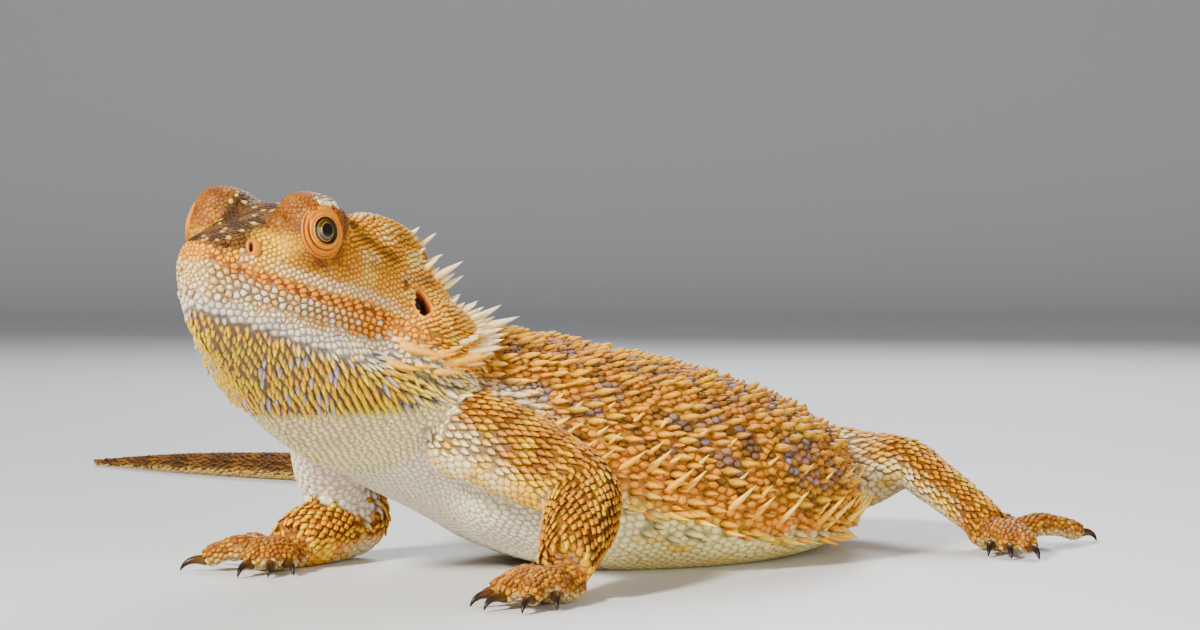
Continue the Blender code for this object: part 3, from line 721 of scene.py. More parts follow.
def lancets(roots, look, patches):
    """The same for long pointed scales that overlap the next row, like slates with a ridge.

    Each is a closed slat: six cross sections along the lie, each a flat lozenge with a raised middle,
    widest before half its length and closing to a sharp lifted tip. look gives length, width, thick, lift,
    sink, arch, and the colours of root, body and tip. The darker root is partly the scales' own dark bases,
    partly painted shade under the row that overlaps it; the ridge carries a painted highlight towards the
    tip, and the edges and underside are painted shade.
    """
    count = len(look["length"])
    share = np.array((0.0, 0.16, 0.4, 0.66, 0.88, 1.0))
    wide = np.array((0.62, 0.92, 1.0, 0.72, 0.34, 0.06))
    thick = np.array((0.5, 0.9, 1.0, 0.85, 0.6, 0.12))
    edge = np.array((-0.5, 0.0, 0.5, 0.0))
    high = np.array((0.0, 0.5, 0.0, -0.35))
    length = look["length"][:, None]
    lift = look["lift"][:, None] * share**1.4 * length - look["sink"][:, None] * (1 - share) ** 2
    x = look["width"][:, None, None] * wide[:, None] * edge
    y = ((share - 0.22)[None] * length)[..., None]
    z = lift[..., None] + look["thick"][:, None, None] * thick[:, None] * high
    z = z + look["arch"][:, None, None] * (np.sin(math.pi * share) * length)[..., None] * 0.1
    points = set_on(roots, look, np.stack(np.broadcast_arrays(x, y, z), -1))
    near_tip = ramp(share, 0.12, 0.6)[None, :, None, None]
    ridge = np.array((0.0, 1.0, 0.0, 0.0))[None, None, :, None]
    root, body, tip = (look[key][:, None, None] for key in ("root", "body", "tip"))
    # the darker root: partly the scales' own dark bases, partly painted shade under the overlapping row
    tint = root * (1 - near_tip) + body * near_tip
    # painted shade on the two edges and the underside, and a painted highlight along the ridge towards the
    # tip
    tint = tint * (1 - 0.45 * (1 - ridge)) + 0.25 * ridge * (tip - tint) * near_tip
    far = ramp(share, 0.7, 1.0)[None, :, None, None]
    tint = tint * (1 - 0.7 * far) + tip * 0.7 * far
    each, last = 4 * len(share), 4 * (len(share) - 1)
    j = np.arange(4)
    faces = repeated(grid_faces(len(share), 4), each, count)
    faces += repeated([j[::-1]], each, count) + repeated([j + last], each, count)
    flat = np.stack(np.broadcast_arrays(edge[None, :] * 2, (share * 2 - 1)[:, None]), -1)
    return points, faces, tint.reshape(-1, 3), (patches[:, None, None] + SLAT_PATCH * flat).reshape(-1, 2)


def add_coat(name, shapes, material):
    """One coat piece from several sets of scales."""
    points, faces = joined([shape[:2] for shape in shapes])
    tints, patches = (np.vstack([shape[k] for shape in shapes]) for k in (2, 3))
    return add_mesh(name, points, faces, material, tints, patches)


def add_spikes(name, spikes, material, sides=8, rings=7):
    """A piece of long spines: cones whose middle line bends, narrow at the root and sharp at the tip.

    spikes holds arrays: root, ahead, bend (where the tip leans to), length, radius, base and tip colours.
    """
    count = len(spikes["root"])
    share, angles = np.linspace(0, 1, rings), turns(sides)
    ahead = unit(spikes["ahead"])
    side = unit(np.cross(ahead, UP + 0.01))
    up = np.cross(side, ahead)
    length = spikes["length"][:, None]
    reach = length * (share * 1.18 - 0.18)
    line = (
        spikes["root"][:, None]
        + reach[..., None] * ahead[:, None]
        + (share**2)[None, :, None] * (length * spikes["bend"])[:, None]
    )
    waist = np.interp(share, (0, 0.2, 0.4, 1), (0.5, 1.05, 1.1, 1))
    radius = spikes["radius"][:, None] * (1 - share) ** 0.75 * waist + 0.03
    circle = np.cos(angles)[:, None] * side[:, None] + 0.75 * np.sin(angles)[:, None] * up[:, None]
    points = line[:, :, None] + radius[..., None, None] * circle[:, None]
    points[..., 2] = np.maximum(points[..., 2], 0.0)
    tipward = (share**0.8)[None, :, None]
    tint = spikes["base"][:, None] * (1 - tipward) + spikes["tip"][:, None] * tipward
    tint = np.repeat(tint[:, :, None], sides, 2)
    j, each = np.arange(sides), rings * sides
    faces = repeated(grid_faces(rings, sides)[:, ::-1], each, count)
    faces += repeated([j], each, count) + repeated([j[::-1] + each - sides], each, count)
    across = int(math.ceil(math.sqrt(count)))
    cell = np.stack([np.arange(count) % across, np.arange(count) // across], -1) + 0.5
    flat = (1 - 0.9 * share)[:, None, None] * np.stack([np.cos(angles), np.sin(angles)], -1)
    patches = (cell[:, None, None] / across + SPINE_PATCH * flat).reshape(-1, 2)
    return add_mesh(name, points.reshape(-1, 3), faces, material, tint.reshape(-1, 3), patches)


# ---------------- markings, as linear colours
# Heights in the head's axes, over the distance behind the snout, of the bands on the jaw.
MOUTH = (
    *((0, 0.9), (2, 0.7), (5, -0.4), (10, -0.8), (15, -1.2), (25, -1.0)),
    *((33, -0.3), (37, -0.4), (41, -1.3), (46, -2.6), (52, -4.6)),
)
PLATES_END = ((0, -6.4), (25, -6.4), (33, -5.0), (38, -4.0), (60, -4.0))
YELLOW_TOP = ((0, -8.6), (4, -9.4), (11, -9.8), (27, -10.6), (36, -10.2), (45, -8.0), (60, -5.5))
YELLOW_END = (
    *((0, -16.0), (10, -17.2), (20, -18.3), (27.5, -20.9), (32, -21.5)),
    *((36, -19.0), (41, -17.0), (44.5, -15.0), (54, -11.5), (62, -9.0)),
)


def kinds_of(roots, names):
    """For each root the first word of its form's name."""
    return np.array([name.split("_")[0] for name in names])[roots["form"]]


def in_turret(back, up):
    """Below 1 inside the round swelling of the brow and the lids, seen from the side."""
    return np.hypot((back - 18.8) / 8.8, (up - 12.0) / 8.4)


def line_height(line, back):
    return np.interp(back, *np.array(line, float).T)


def skull_markings(roots, back, side, up):
    """Orange brows and lids, streaked crown, flecked snout, pale streak under the eye and orange lip."""
    points, lot = roots["place"], roots["lot"]
    above = up - line_height(MOUTH, back)
    over_slope = up - 0.35 * back
    streaky = ripple(np.stack([back * 0.22, roots["aside"], up], -1), 3.4, 3)
    cloudy = ripple(points, 7.0, 4)
    skull = mix(paint(214, 148, 82), paint(238, 200, 146), ramp(streaky, 0.05, 0.6))
    dark = 0.85 * ramp(-streaky, 0.1, 0.6) * (0.25 + 0.75 * ramp(up, 6, 11))
    skull = mix(skull, paint(124, 84, 50), dark)
    grey = 0.75 * ramp(cloudy, 0.2, 0.7) * ramp(back, 26, 32) * ramp(up, 13, 7)
    skull = mix(skull, paint(140, 116, 100), grey)
    cheek = mix(paint(240, 168, 90), paint(252, 206, 140), ramp(-cloudy, 0, 0.6))
    skull = mix(skull, cheek, 0.8 * (ramp(back, 26, 31) * ramp(up, 9.5, 6.5)))
    # brown top of the snout with pale flecks, and its lighter side
    top = ramp(back, 18, 12) * ramp(over_slope, 0.8, 2.2)
    top = np.maximum(top, ramp(back, 30, 23) * ramp(side, 9.0, 6.5) * ramp(over_slope, 0.3, 1.8))
    brown = mix(paint(58, 38, 18), paint(104, 66, 26), ramp(streaky, -0.2, 0.6))
    skull = mix(skull, brown, 0.97 * top)
    skull = mix(skull, paint(236, 204, 150), 0.7 * top * (lot < 0.07))
    flank = ramp(back, 14, 9) * ramp(over_slope, 2.0, 0.8) * ramp(above, 1.6, 2.6)
    skull = mix(skull, paint(250, 178, 100), 0.85 * flank)
    skull = mix(skull, paint(240, 206, 166), 0.8 * flank * (lot < 0.35))
    # orange turret, with a wedge before it and three painted highlights on it: near-white spots that stand
    # for glints on wet scales
    turret = ramp(in_turret(back, up), 1.06, 0.86) * ramp(side, 5.5, 8.0)
    wedge = ramp(np.hypot((back - 14.5) / 5.8, (up - 9.2) / 3.0), 1.1, 0.8) * ramp(side, 5.5, 7.5)
    turret = np.maximum(turret, wedge)
    skull = mix(skull, mix(paint(138, 84, 0), paint(166, 112, 2), ramp(cloudy, -0.1, 0.5)), turret)
    skull = mix(skull, paint(96, 52, 2), 0.6 * turret * ramp(streaky, 0.1, 0.6))
    pit = ramp(np.hypot(back - 41.3, up - 7.1), 0.7, 0.4) * ramp(side, 12, 15)
    skull = mix(skull, paint(40, 26, 18), 0.8 * pit)
    # painted highlights: three near-white spots on the turret's top
    for spot in ((16.0, 14.0, 16.5), (18.2, 14.4, 16.9), (20.5, 14.4, 17.0)):
        near = np.hypot(np.hypot(back - spot[0], side - spot[1]), up - spot[2])
        skull = mix(skull, paint(252, 232, 196), ramp(near, 1.05, 0.75))
    patch = bump(back, 11.5, 4.6) * bump(up, 5.9, 4.4) * ramp(side, 4, 6.5)
    skull = mix(skull, paint(250, 196, 118), 1.2 * np.minimum(patch, 0.8))
    streak = bump(above, 3.1, 1.7) * ramp(back, 11, 15) * ramp(back, 46, 36) * ramp(side, 4, 7)
    skull = mix(skull, paint(246, 212, 176), np.clip(1.3 * streak, 0, 0.95))
    ear = ramp(np.hypot((back - 51.0) / 10.5, (up - 0.5) / 6.5), 1.1, 0.45) * ramp(side, 12, 15)
    ear_skin = mix(paint(236, 154, 70), paint(250, 190, 130), ramp(cloudy, -0.1, 0.6))
    skull = mix(skull, ear_skin, 0.92 * ear)
    lip = mix(paint(228, 148, 46), paint(250, 172, 92), ramp(above, 0.7, 1.3))
    return mix(skull, lip, 0.95 * ramp(above, 2.5, 1.9))


def jaw_markings(roots, back, up):
    """White to peach plates, a grey-blue band, then yellow points that pale towards the throat."""
    points, lot = roots["place"], roots["lot"]
    cloudy = ripple(points, 7.0, 4)
    rear = np.clip(0.1 + 0.8 * ramp(back, 20, 34) + 0.25 * cloudy, 0, 1)
    plates = mix(paint(240, 214, 172), paint(228, 168, 118), rear)
    plates = mix(plates, paint(248, 240, 230), 0.75 * (lot > 0.72))
    orange = 0.85 * ramp(back, 26, 36) * np.where(lot > 0.75, 0.5, 1.0)
    plates = mix(plates, paint(246, 152, 76), orange)
    cream = np.clip(0.35 + 0.5 * cloudy + 0.5 * ramp(back, 20, 40), 0, 1)
    band = mix(paint(200, 188, 184), paint(244, 228, 196), cream)
    pale = np.clip(0.7 * ramp(back, 26, 52) + 0.5 * cloudy, 0, 1)
    tips = mix(paint(252, 182, 56), paint(252, 208, 124), pale)
    tips = mix(tips, paint(150, 148, 164), 0.8 * ((lot > 0.87) & (back > 16)))
    tips = mix(tips, paint(250, 226, 180), 0.6 * ramp(back, 40, 56))
    throat = mix(paint(248, 224, 178), paint(222, 198, 172), ramp(ripple(points, 3.0, 15), -0.2, 0.8))
    throat = mix(paint(255, 232, 192), throat, ramp(back, 60, 40))
    throat = mix(throat, paint(196, 154, 80), 0.9 * ramp(back, 36, 22))
    low = mix(plates, band, ramp(up - line_height(PLATES_END, back), 0.5, -0.7))
    low = mix(low, tips, ramp(up - line_height(YELLOW_TOP, back) + 0.6 * cloudy, 0.8, -0.4))
    low = mix(low, throat, ramp(up - line_height(YELLOW_END, back) + 0.5 * cloudy, 0.6, -0.8))
    chin = mix(paint(226, 198, 148), paint(178, 172, 184), ramp(up, -3, -8))
    return mix(low, chin, 0.7 * ramp(back, 4.5, 1.5) * ramp(up, -13, -10))


def head_markings(roots):
    """The skull's colours above the mouth and the jaw's below it."""
    back, aside, up = in_head(roots["place"])
    above = up - line_height(MOUTH, back)
    skull = skull_markings({**roots, "aside": aside}, back, np.abs(aside), up)
    return mix(skull, jaw_markings(roots, back, up), ramp(above, -0.75, -1.15))


# The row of long spines on the flank: its angle round the trunk over the trunk's length.
FLANK = (
    *((0.0, 0.0), (0.36, 0.008), (0.46, 0.0), (0.5, -0.012)),
    *((0.54, -0.04), (0.6, -0.055), (0.8, -0.05), (1.0, -0.03)),
)


def bands(share, number):
    """Soft rings along a form: 1 in the middle of each of this many, 0 between them."""
    rows = share * number
    return bump(rows - np.floor(rows), 0.5, 0.4)


def lateral_of(roots):
    """0 along the middle of the back, 1 on the row of long spines, 2 along the middle of the belly."""
    angle = roots["angle"] % 1.0
    turn = 4 * np.minimum(np.abs(angle - 0.25), 1 - np.abs(angle - 0.25))
    row = 1 - 4 * line_height(FLANK, roots["share"])
    return np.where(turn < row, turn / row, 1 + (turn - row) / (2 - row))


def trunk_markings(roots):
    """Gold-orange back with round grey-plum blotches, orange flank line, cream flanks, white chest."""
    points, share, lot, lateral = roots["place"], roots["share"], roots["lot"], lateral_of(roots)
    spiny = roots["special"] == SPINY
    cloudy, fine = ripple(points, 15.0, 5), ripple(points, 5.0, 6)
    ground = mix(paint(206, 136, 62), paint(122, 82, 48), ramp(fine, -0.4, 0.5))
    ground = mix(ground, paint(226, 150, 68), 0.85 * (lot > 0.62) * ramp(fine, -0.6, 0.2))
    raised = mix(paint(232, 138, 50), paint(238, 172, 86), lot)
    back = np.where(spiny[:, None], raised, ground)
    # blotches in two rows on each side of the back's middle
    offset = np.abs((share * 13 + 0.4 * cloudy) % 1.0 - 0.5)
    inner, outer = (
        bump(np.hypot(offset * long, (lateral - at) * wide), 0, 0.8)
        for long, at, wide in ((2.4, 0.3, 4.4), (2.6, 0.7, 5.0))
    )
    spots = np.clip(1.8 * np.maximum(inner, outer), 0, 1)
    spots = np.maximum(spots, 0.6 * ramp(cloudy, 0.45, 0.9)) * ramp(lateral, 0.98, 0.9)
    plum = mix(paint(126, 112, 116), paint(88, 66, 56), ramp(lot, 0.35, 0.75))
    plum = mix(plum, paint(176, 164, 166), 0.6 * (lot < 0.12))
    back = mix(back, plum, spots * np.where(spiny, 0.25, 0.9))
    nape = 0.5 * ramp(share, 0.34, 0.14) * ramp(lateral, 0.7, 0.3) * np.where(lot > 0.45, 1.0, 0.2)
    back = mix(back, paint(92, 60, 36), nape)
    line = ramp(lateral, 0.9, 0.98) * ramp(lateral, 1.1, 1.03) * ramp(share, 0.34, 0.4)
    skin = mix(back, paint(232, 150, 56), 0.85 * line)
    folds = ripple(points * np.array((0.4, 0.4, 1.6)), 9.0, 12)
    flank = mix(paint(255, 232, 182), paint(236, 190, 110), ramp(folds, 0.0, 0.8))
    belly = mix(flank, paint(250, 226, 174), ramp(lateral, 1.35, 1.6))
    skin = mix(skin, belly, ramp(lateral, 1.04, 1.1))
    neck = mix(paint(238, 222, 192), paint(232, 182, 128), ramp(fine, 0.3, 1))
    skin = mix(skin, neck, ramp(share, 0.34, 0.2) * ramp(lateral, 0.42, 0.68))
    behind, aside, up = in_head(points)
    collar = ramp(behind, 72, 64) * ramp(np.abs(aside), 7, 12) * ramp(up, -4, -9)
    skin = mix(skin, paint(240, 226, 204), 0.9 * collar)
    chest = ramp(share, 0.5, 0.36) * ramp(lateral, 1.0, 1.2)
    skin = mix(skin, paint(244, 236, 222), 0.9 * chest)
    dewlap = mix(paint(214, 174, 92), paint(232, 204, 140), ramp(fine, 0, 0.8))
    return mix(skin, dewlap, 0.9 * (ramp(behind, 56, 42) * ramp(up, -10, -15)))


def tail_markings(roots):
    """Orange-brown with darker bands, paler beneath."""
    patchy = 0.5 + 0.5 * np.clip(ripple(roots["place"], 7, 7), -1, 1)
    skin = mix(paint(100, 62, 32), paint(136, 90, 46), patchy)
    skin = mix(skin, paint(76, 50, 34), 0.75 * bands(roots["share"], 20))
    return mix(skin, paint(216, 184, 134), ramp(-roots["out"][:, 2], 0.15, 0.7))


def limb_markings(roots, limb):
    """Golden-brown outer side in darker rings, cream inner side; the right limbs' outer side is painted
    lighter, as painted light on their shaded side.
    """
    fine, lot, share = ripple(roots["place"], 5.0, 8), roots["lot"], roots["share"]
    out_x, out_y, out_z = roots["out"].T
    front, left = limb.startswith("front"), limb.endswith("left")
    outer = mix(paint(196, 130, 56), paint(226, 174, 96), ramp(fine, -0.2, 0.9))
    rings = 0.5 * bands(share, 9 if front else 11) + 0.25 * (lot > 0.7)
    # painted light: the outer side of the right limbs, which lies in shade, is painted 1.4 times lighter
    outer = mix(outer, paint(140, 88, 40), rings) * (1.0 if left else 1.4)
    inner = mix(paint(240, 222, 186), paint(234, 188, 126), ramp(fine, 0.1, 1.0))
    forward = ramp(-out_y, -0.1, 0.4)
    if front:
        open_side = -out_z * 0.9 - (1.0 if left else -1.0) * out_x * 0.25 - out_y * 0.55
        pale = ramp(open_side, 0.25, 0.7) * ramp(share, 0.86, 0.7)
        pale = np.maximum(pale, ramp(share, 0.34, 0.2) * ramp(out_z, 0.55, 0.1))
    else:
        pale = ramp(-out_z * 0.85 - out_y * 0.5, 0.05, 0.5) * ramp(share, 0.95, 0.8)
        pale = np.maximum(pale, 0.9 * bump(share, 0.3, 0.2) * forward)
    if limb == "front_left":
        inner = mix(inner, paint(240, 188, 118), bump(share, 0.42, 0.16))
    if limb == "front_right":
        inner = mix(inner, paint(244, 236, 222), ramp(share, 0.6, 0.4))
        pale = np.maximum(pale, ramp(share, 0.52, 0.42) * ramp(-out_y - out_z, -0.7, -0.2))
        pale = np.maximum(pale, 0.9 * bump(share, 0.72, 0.1) * forward)
    return mix(outer, inner, pale)


def foot_markings(roots):
    """Golden brown above with darker specks, cream soles."""
    patchy = ramp(ripple(roots["place"], 3.5, 9), -0.3, 0.8)
    skin = mix(paint(158, 98, 42), paint(200, 146, 82), patchy)
    skin = mix(skin, paint(104, 64, 32), 0.55 * (roots["lot"] > 0.8))
    return mix(skin, paint(224, 196, 150), ramp(-roots["out"][:, 2], 0.1, 0.6))


def all_markings(roots, names):
    """Every root's own colour, by the form that it stands on."""
    colours = np.zeros((len(roots["place"]), 3))
    kinds = kinds_of(roots, names)
    own = {"trunk": trunk_markings, "tail": tail_markings, "palm": foot_markings, "toe": foot_markings}
    for kind in np.unique(kinds):
        mask = kinds == kind
        if kind not in ("front", "hind"):
            colours[mask] = own.get(kind, head_markings)(keep(roots, mask))
    for limb in LIMBS:
        mask = roots["form"] == names.index(limb)
        colours[mask] = limb_markings(keep(roots, mask), limb)
    shade = 1 + 0.16 * (roots["lot"][:, None] - 0.5) + CHANCE.normal(0, 0.03, (len(colours), 3))
    return np.clip(colours * shade, 0.004, 0.92)


# ---------------- where scales go and how they look
def eye_frame(side):
    """The eye's centre and three directions: out through the pupil, towards the back, and up."""
    centre = on_head(EYE[0], side * EYE[1], EYE[2])
    gaze = unit(HEAD @ np.array((side * math.cos(EYE_FORWARD), -math.sin(EYE_FORWARD), 0.12)))
    behind = square_to(HEAD_BACK, gaze)
    return centre, gaze, behind, unit(np.cross(gaze, behind)) * (1 if side > 0 else -1)


SITES = {}  # the place of each ear and nostril, with its way out


def find_sites(surface):
    """Where the ears and nostrils lie on the skin, with the skin's own direction there."""
    for name, spot in (("ear", EAR), ("nostril", NOSTRIL)):
        for side in (-1, 1):
            place, out, _ = surface.rooted([on_head(spot[0], side * spot[1], spot[2])])
            SITES[name, side] = (place[0], unit(out[0]))


def ear_frame(side):
    """The ear's middle and three directions: outwards, along its long axis, and across it."""
    centre, out = SITES["ear", side]
    long = square_to(HEAD @ unit(np.array((0.0, -0.2, 1.0))), out)
    return centre, out, long, np.cross(out, long)


def lip_rows():
    """Close places in rows along both lips; every second one is dropped later, and the rest grow long."""
    rows = []
    stations = smooth(CRANIUM, 6)
    for above, step, pitch, late in LIP_ROWS:
        back = np.arange(1.0 + 0.4 * (above < 0), 50.0, step) + late * step
        half = np.interp(back, stations[:, 0], stations[:, 1])
        up = line_height(MOUTH, back) + above * (1 - 0.2 * ramp(back, 34, 46))
        for side in (-1, 1):
            place = on_head(back, side * (half + 1.0), up)
            angle = ((0.0 if side > 0 else 0.5) + 0.01 * above) % 1.0
            ways = np.tile((*HEAD_BACK, *(side * HEAD_ASIDE)), (len(back), 1))
            rest = np.tile((angle, pitch), (len(back), 1))
            rows.append(np.column_stack([place, ways, back / CRANIUM[-1][0], rest]))
    return np.vstack(rows)


def spiny_places(forms):
    """Places of the enlarged pointed scales over the back, in cross rows, as high-ranking places."""
    rows = scale_rows(forms["trunk"], lambda s: 2.9 + 0.4 * ramp(s, 0.3, 0.6))
    angle = rows[:, 10] % 1.0
    on_back = ((angle < 0.5) | (angle > 0.93)) & (rows[:, 9] > 0.1)
    rows = rows[on_back & (CHANCE.uniform(size=len(rows)) < 0.8)]
    rows[:, 0:3] += CHANCE.normal(0, 0.55, (len(rows), 3))
    rows[:, 11] = 1.9
    return rows


def coat_roots(forms, surface):
    """All scale places, on the skin, thinned where forms join and filled where they leave it bare."""
    names = list(forms)
    roots = {**first_places(forms), "special": 0}
    for special, rows, form in ((SPINY, spiny_places(forms), "trunk"), (LIP, lip_rows(), "cranium")):
        part = {**as_roots(rows, np.full(len(rows), names.index(form))), "special": special}
        part, roots = ({**some, "special": some["special"] + 0 * some["form"]} for some in (part, roots))
        roots = {key: np.concatenate([part[key], roots[key]]) for key in roots}
    place, out, off = surface.rooted(roots["place"])
    free = roots["special"] != LIP
    good = (off < 1.9) & (dot(out, roots["out"]) > 0.35) | ~free
    shift = CHANCE.normal(0, JITTER, place.shape) * roots["pitch"][:, None] * free[:, None]
    roots["place"], roots["out"] = surface.rooted(place + shift)[0], out
    roots = set_pitches(keep(roots, good), names)
    roots = thinned(roots, np.arange(len(roots["place"])), CLOSE_SHARE)
    roots = filled(roots, surface)
    back, _, up = in_head(roots["place"])
    lip = (roots["special"] == LIP) & (roots["pitch"] < 1)
    slot = np.floor(back / 1.3 + np.where(up - line_height(MOUTH, back) > 1.0, 0.5, 0)).astype(int)
    roots = {**roots, "stretch": np.where(lip, 2.1, 1.0)}
    roots = keep(roots, ~(lip & (slot % 2 == 1)))
    roots = keep(roots, outside_openings(roots["place"]))
    roots["lot"] = CHANCE.uniform(size=len(roots["place"]))
    return set_lie(roots, names)


def ear_oval(points, side, long_half, wide_half):
    """Below 1 inside an oval round the ear's middle, and large away from the ear."""
    centre, out, long, across = ear_frame(side)
    step = points - centre
    oval = np.hypot(step @ long / long_half, step @ across / wide_half)
    return np.where(np.abs(step @ out) < 6, oval, FAR)


def outside_openings(points):
    """False inside the lids, the ears and the nostrils."""
    fine = np.ones(len(points), bool)
    for side in (-1, 1):
        centre, gaze, _, _ = eye_frame(side)
        near = np.linalg.norm(points - centre, axis=1) < 8.5
        fine &= ~(near & (unit(points - centre) @ gaze > math.cos(math.radians(55))))
        fine &= ear_oval(points, side, 3.6, 2.2) >= 1.0
        fine &= np.linalg.norm(points - SITES["nostril", side][0], axis=1) > 1.9
    return fine


def set_pitches(roots, names):
    """Finer scales in the bands of the beard, on the throat, the neck's side and the snout."""
    kinds, free = kinds_of(roots, names), roots["special"] == 0
    back, _, up = in_head(roots["place"])
    pitch = roots["pitch"]
    fine = np.where(up > line_height(PLATES_END, back), 1.55, 1.2)
    fine = np.where(up < line_height(YELLOW_TOP, back), 1.2 + 0.35 * ramp(back, 8, 44), fine)
    fine = np.where(up < line_height(YELLOW_END, back), 1.15, fine)
    pitch = np.where((kinds == "beard") & free, fine, pitch)
    neck = ramp(roots["share"], 0.36, 0.22) * ramp(lateral_of(roots), 0.45, 0.7)
    return {**roots, "pitch": np.where((kinds == "trunk") & free, pitch - 0.35 * neck, pitch)}


def set_lie(roots, names):
    """On the beard the scales point down and back; elsewhere they follow their form."""
    back = in_head(roots["place"])[0]
    rearward = 0.3 + 0.95 * ramp(back, 6, 52) + 0.25 * np.sin(5.0 * roots["lot"])
    down = np.stack([0 * back, rearward, -1.0 + 0.6 * ramp(back, 20, 60)], -1) @ HEAD.T
    beard = (kinds_of(roots, names) == "beard") & (roots["special"] == 0)
    roots["lie"] = np.where(beard[:, None], down, roots["lie"])
    return roots


def scale_looks(roots, names, colours):
    """Measures and colours of each scale; those with a length are long and pointed, the others mounds."""
    kinds = kinds_of(roots, names)
    count, pitch, lot = len(kinds), roots["pitch"], roots["lot"]
    back, aside, up = in_head(roots["place"])
    share, lateral = roots["share"], lateral_of(roots)
    _, out_y, out_z = roots["out"].T
    light = np.clip(colours @ LUMINANCE * 1.6, 0, 1)
    look = {
        "height": 0.15 * pitch,
        "tilt": np.full(count, 0.12),
        "point": np.zeros(count),
        "keel": np.zeros(count),
        "groove": np.full(count, 0.05),
        "body": colours,
        # rim and root are darker copies of the markings: partly the darker skin between and under scales,
        # partly painted shade at the scales' feet and under the overlapping row
        "rim": colours * np.array((0.5, 0.4, 0.34)),
        "tip": np.minimum(colours * np.array((1.4, 1.34, 1.25)) + 0.004, 0.95),
        "root": colours * np.array((0.36, 0.3, 0.28)),
        "tip_share": np.full(count, 0.25),
        "length": np.zeros(count),
        "width": 0.95 * pitch,
        "thick": 0.5 * pitch,
        "lift": np.full(count, 0.12),
        "sink": np.full(count, 0.25),
        "arch": np.full(count, 0.3),
    }

    def over(mask, **values):
        for key, value in values.items():
            look[key] = np.where(mask if look[key].ndim == 1 else mask[:, None], value, look[key])

    # the head: flat scales, pointed ones on the crown, smooth ones on the turrets
    head = np.isin(kinds, ["cranium", *SWELLINGS])
    rearward = ramp(back, 34, 52)
    over(head, height=(0.07 + 0.22 * light) * pitch, tilt=0.06 + 0.3 * rearward, point=0.7 * rearward)
    over(head & (up > 10) & (back > 25), keel=0.1 + 0.25 * light, tilt=0.25, point=0.5)
    turret = head & (in_turret(back, up) < 1)
    over(turret, height=0.09 * pitch, tilt=0.03, rim=colours * (0.72, 0.6, 0.5), groove=0.02)
    # the beard: plates, then long points, then the throat
    beard = kinds == "beard"
    # the plates' rim: orange-brown, partly the skin seen in the gaps, partly painted shade there
    plate_rim = mix(colours, paint(190, 104, 40), 0.75) * 0.42
    over(beard, height=0.24 * pitch, rim=colours * 0.55)
    plates = beard & (up > line_height(PLATES_END, back))
    over(plates, height=0.36 * pitch, groove=0.07, rim=plate_rim)
    start = line_height(YELLOW_TOP, back) + np.where(back > 30, 4.0 * ramp(back, 30, 40), 0.8)
    finish = line_height(YELLOW_END, back) - 0.6
    pointed = beard & (up < start + 0.5 * (lot - 0.5)) & (up > finish)
    length = pitch * (1.65 + 0.75 * ramp(back, 10, 45)) * (0.85 + 0.3 * lot)
    # the beard points' dark roots: partly their own grey-lavender bases, partly painted shade under the
    # next row
    dark_root = mix(colours, paint(104, 98, 112), 0.75) * 0.6
    over(pointed, length=length, width=0.92 * pitch, thick=0.62 * pitch, sink=0.3, root=dark_root)
    over(pointed, lift=0.16 + 0.1 * lot + 0.08 * rearward)
    # the throat's rim: lavender-grey, partly the skin in the gaps, partly painted shade there
    throat_rim = mix(colours, paint(150, 124, 116), 0.5) * 0.8
    over(beard & (up <= finish), height=0.15 * pitch, tilt=0.15, point=0.25, rim=throat_rim)
    cheeks = head & (back > 44) & (np.abs(aside) > 17) & (up < 1) | (kinds == "cheek") & (back > 50)
    over(cheeks, length=pitch * (1.5 + 1.0 * ramp(back, 46, 60)), lift=0.22, root=colours * 0.4)
    over(cheeks, width=0.95 * pitch, thick=0.5 * pitch)
    lips = roots["special"] == LIP
    line, rows = lips & (pitch < 1), lips & (pitch > 1)
    over(line, height=0.2, keel=0.0, groove=0.04, rim=paint(178, 96, 26) + 0 * colours)
    over(rows, height=0.36 * pitch, groove=0.06, rim=plate_rim)
    over(line | rows, tilt=0.0, point=0.0)
    over(lips & (roots["stretch"] > 1), length=0.0)
    # the trunk: grains on the back with spiny scales among them, smooth scales below
    trunk = kinds == "trunk"
    dorsal = trunk & (lateral < 1.0) & ((share > 0.2) | (lateral < 0.5))
    over(trunk, height=0.13 * pitch, tilt=0.06, point=0.1, keel=0.03, rim=colours * (0.66, 0.58, 0.5))
    over(dorsal, height=0.24 * pitch, tilt=0.2, point=0.4, keel=0.12, rim=colours * (0.5, 0.42, 0.38))
    spiny = roots["special"] == SPINY
    size = 0.7 + 0.55 * lot
    over(spiny, length=3.3 * size, width=1.8 * size, thick=1.3 * size, lift=0.4, sink=0.4)
    bright_tip = np.minimum(paint(246, 190, 122) * (0.85 + 0.3 * lot[:, None]), 0.95)
    over(spiny, root=colours * 0.42, tip=bright_tip)
    # the tail and the limbs: overlapping scales, smooth on the inner sides, fine on the feet
    limbs = np.isin(kinds, ["front", "hind"])
    over(kinds == "tail", length=1.55 * pitch, width=0.98 * pitch, thick=0.4 * pitch, lift=0.12)
    over(limbs, length=1.5 * pitch, width=0.98 * pitch, thick=0.48 * pitch, lift=0.16)
    feet = np.isin(kinds, ["palm", "toe"])
    over(feet, tilt=0.16, point=0.4, keel=0.12, height=0.15 * pitch)
    right_arm = roots["form"] == names.index("front_right")
    bare = limbs & (out_z < -0.3) | right_arm & (share < 0.5) & (out_y < 0.2)
    over(bare, length=0.0, height=0.1 * pitch, tilt=0.05, point=0.1, rim=colours * (0.66, 0.58, 0.52))
    below = (out_z < -0.55) & ~beard & ~spiny
    over(below, length=0.0, tilt=0.05, point=0.1, keel=0.02, height=0.1 * pitch)
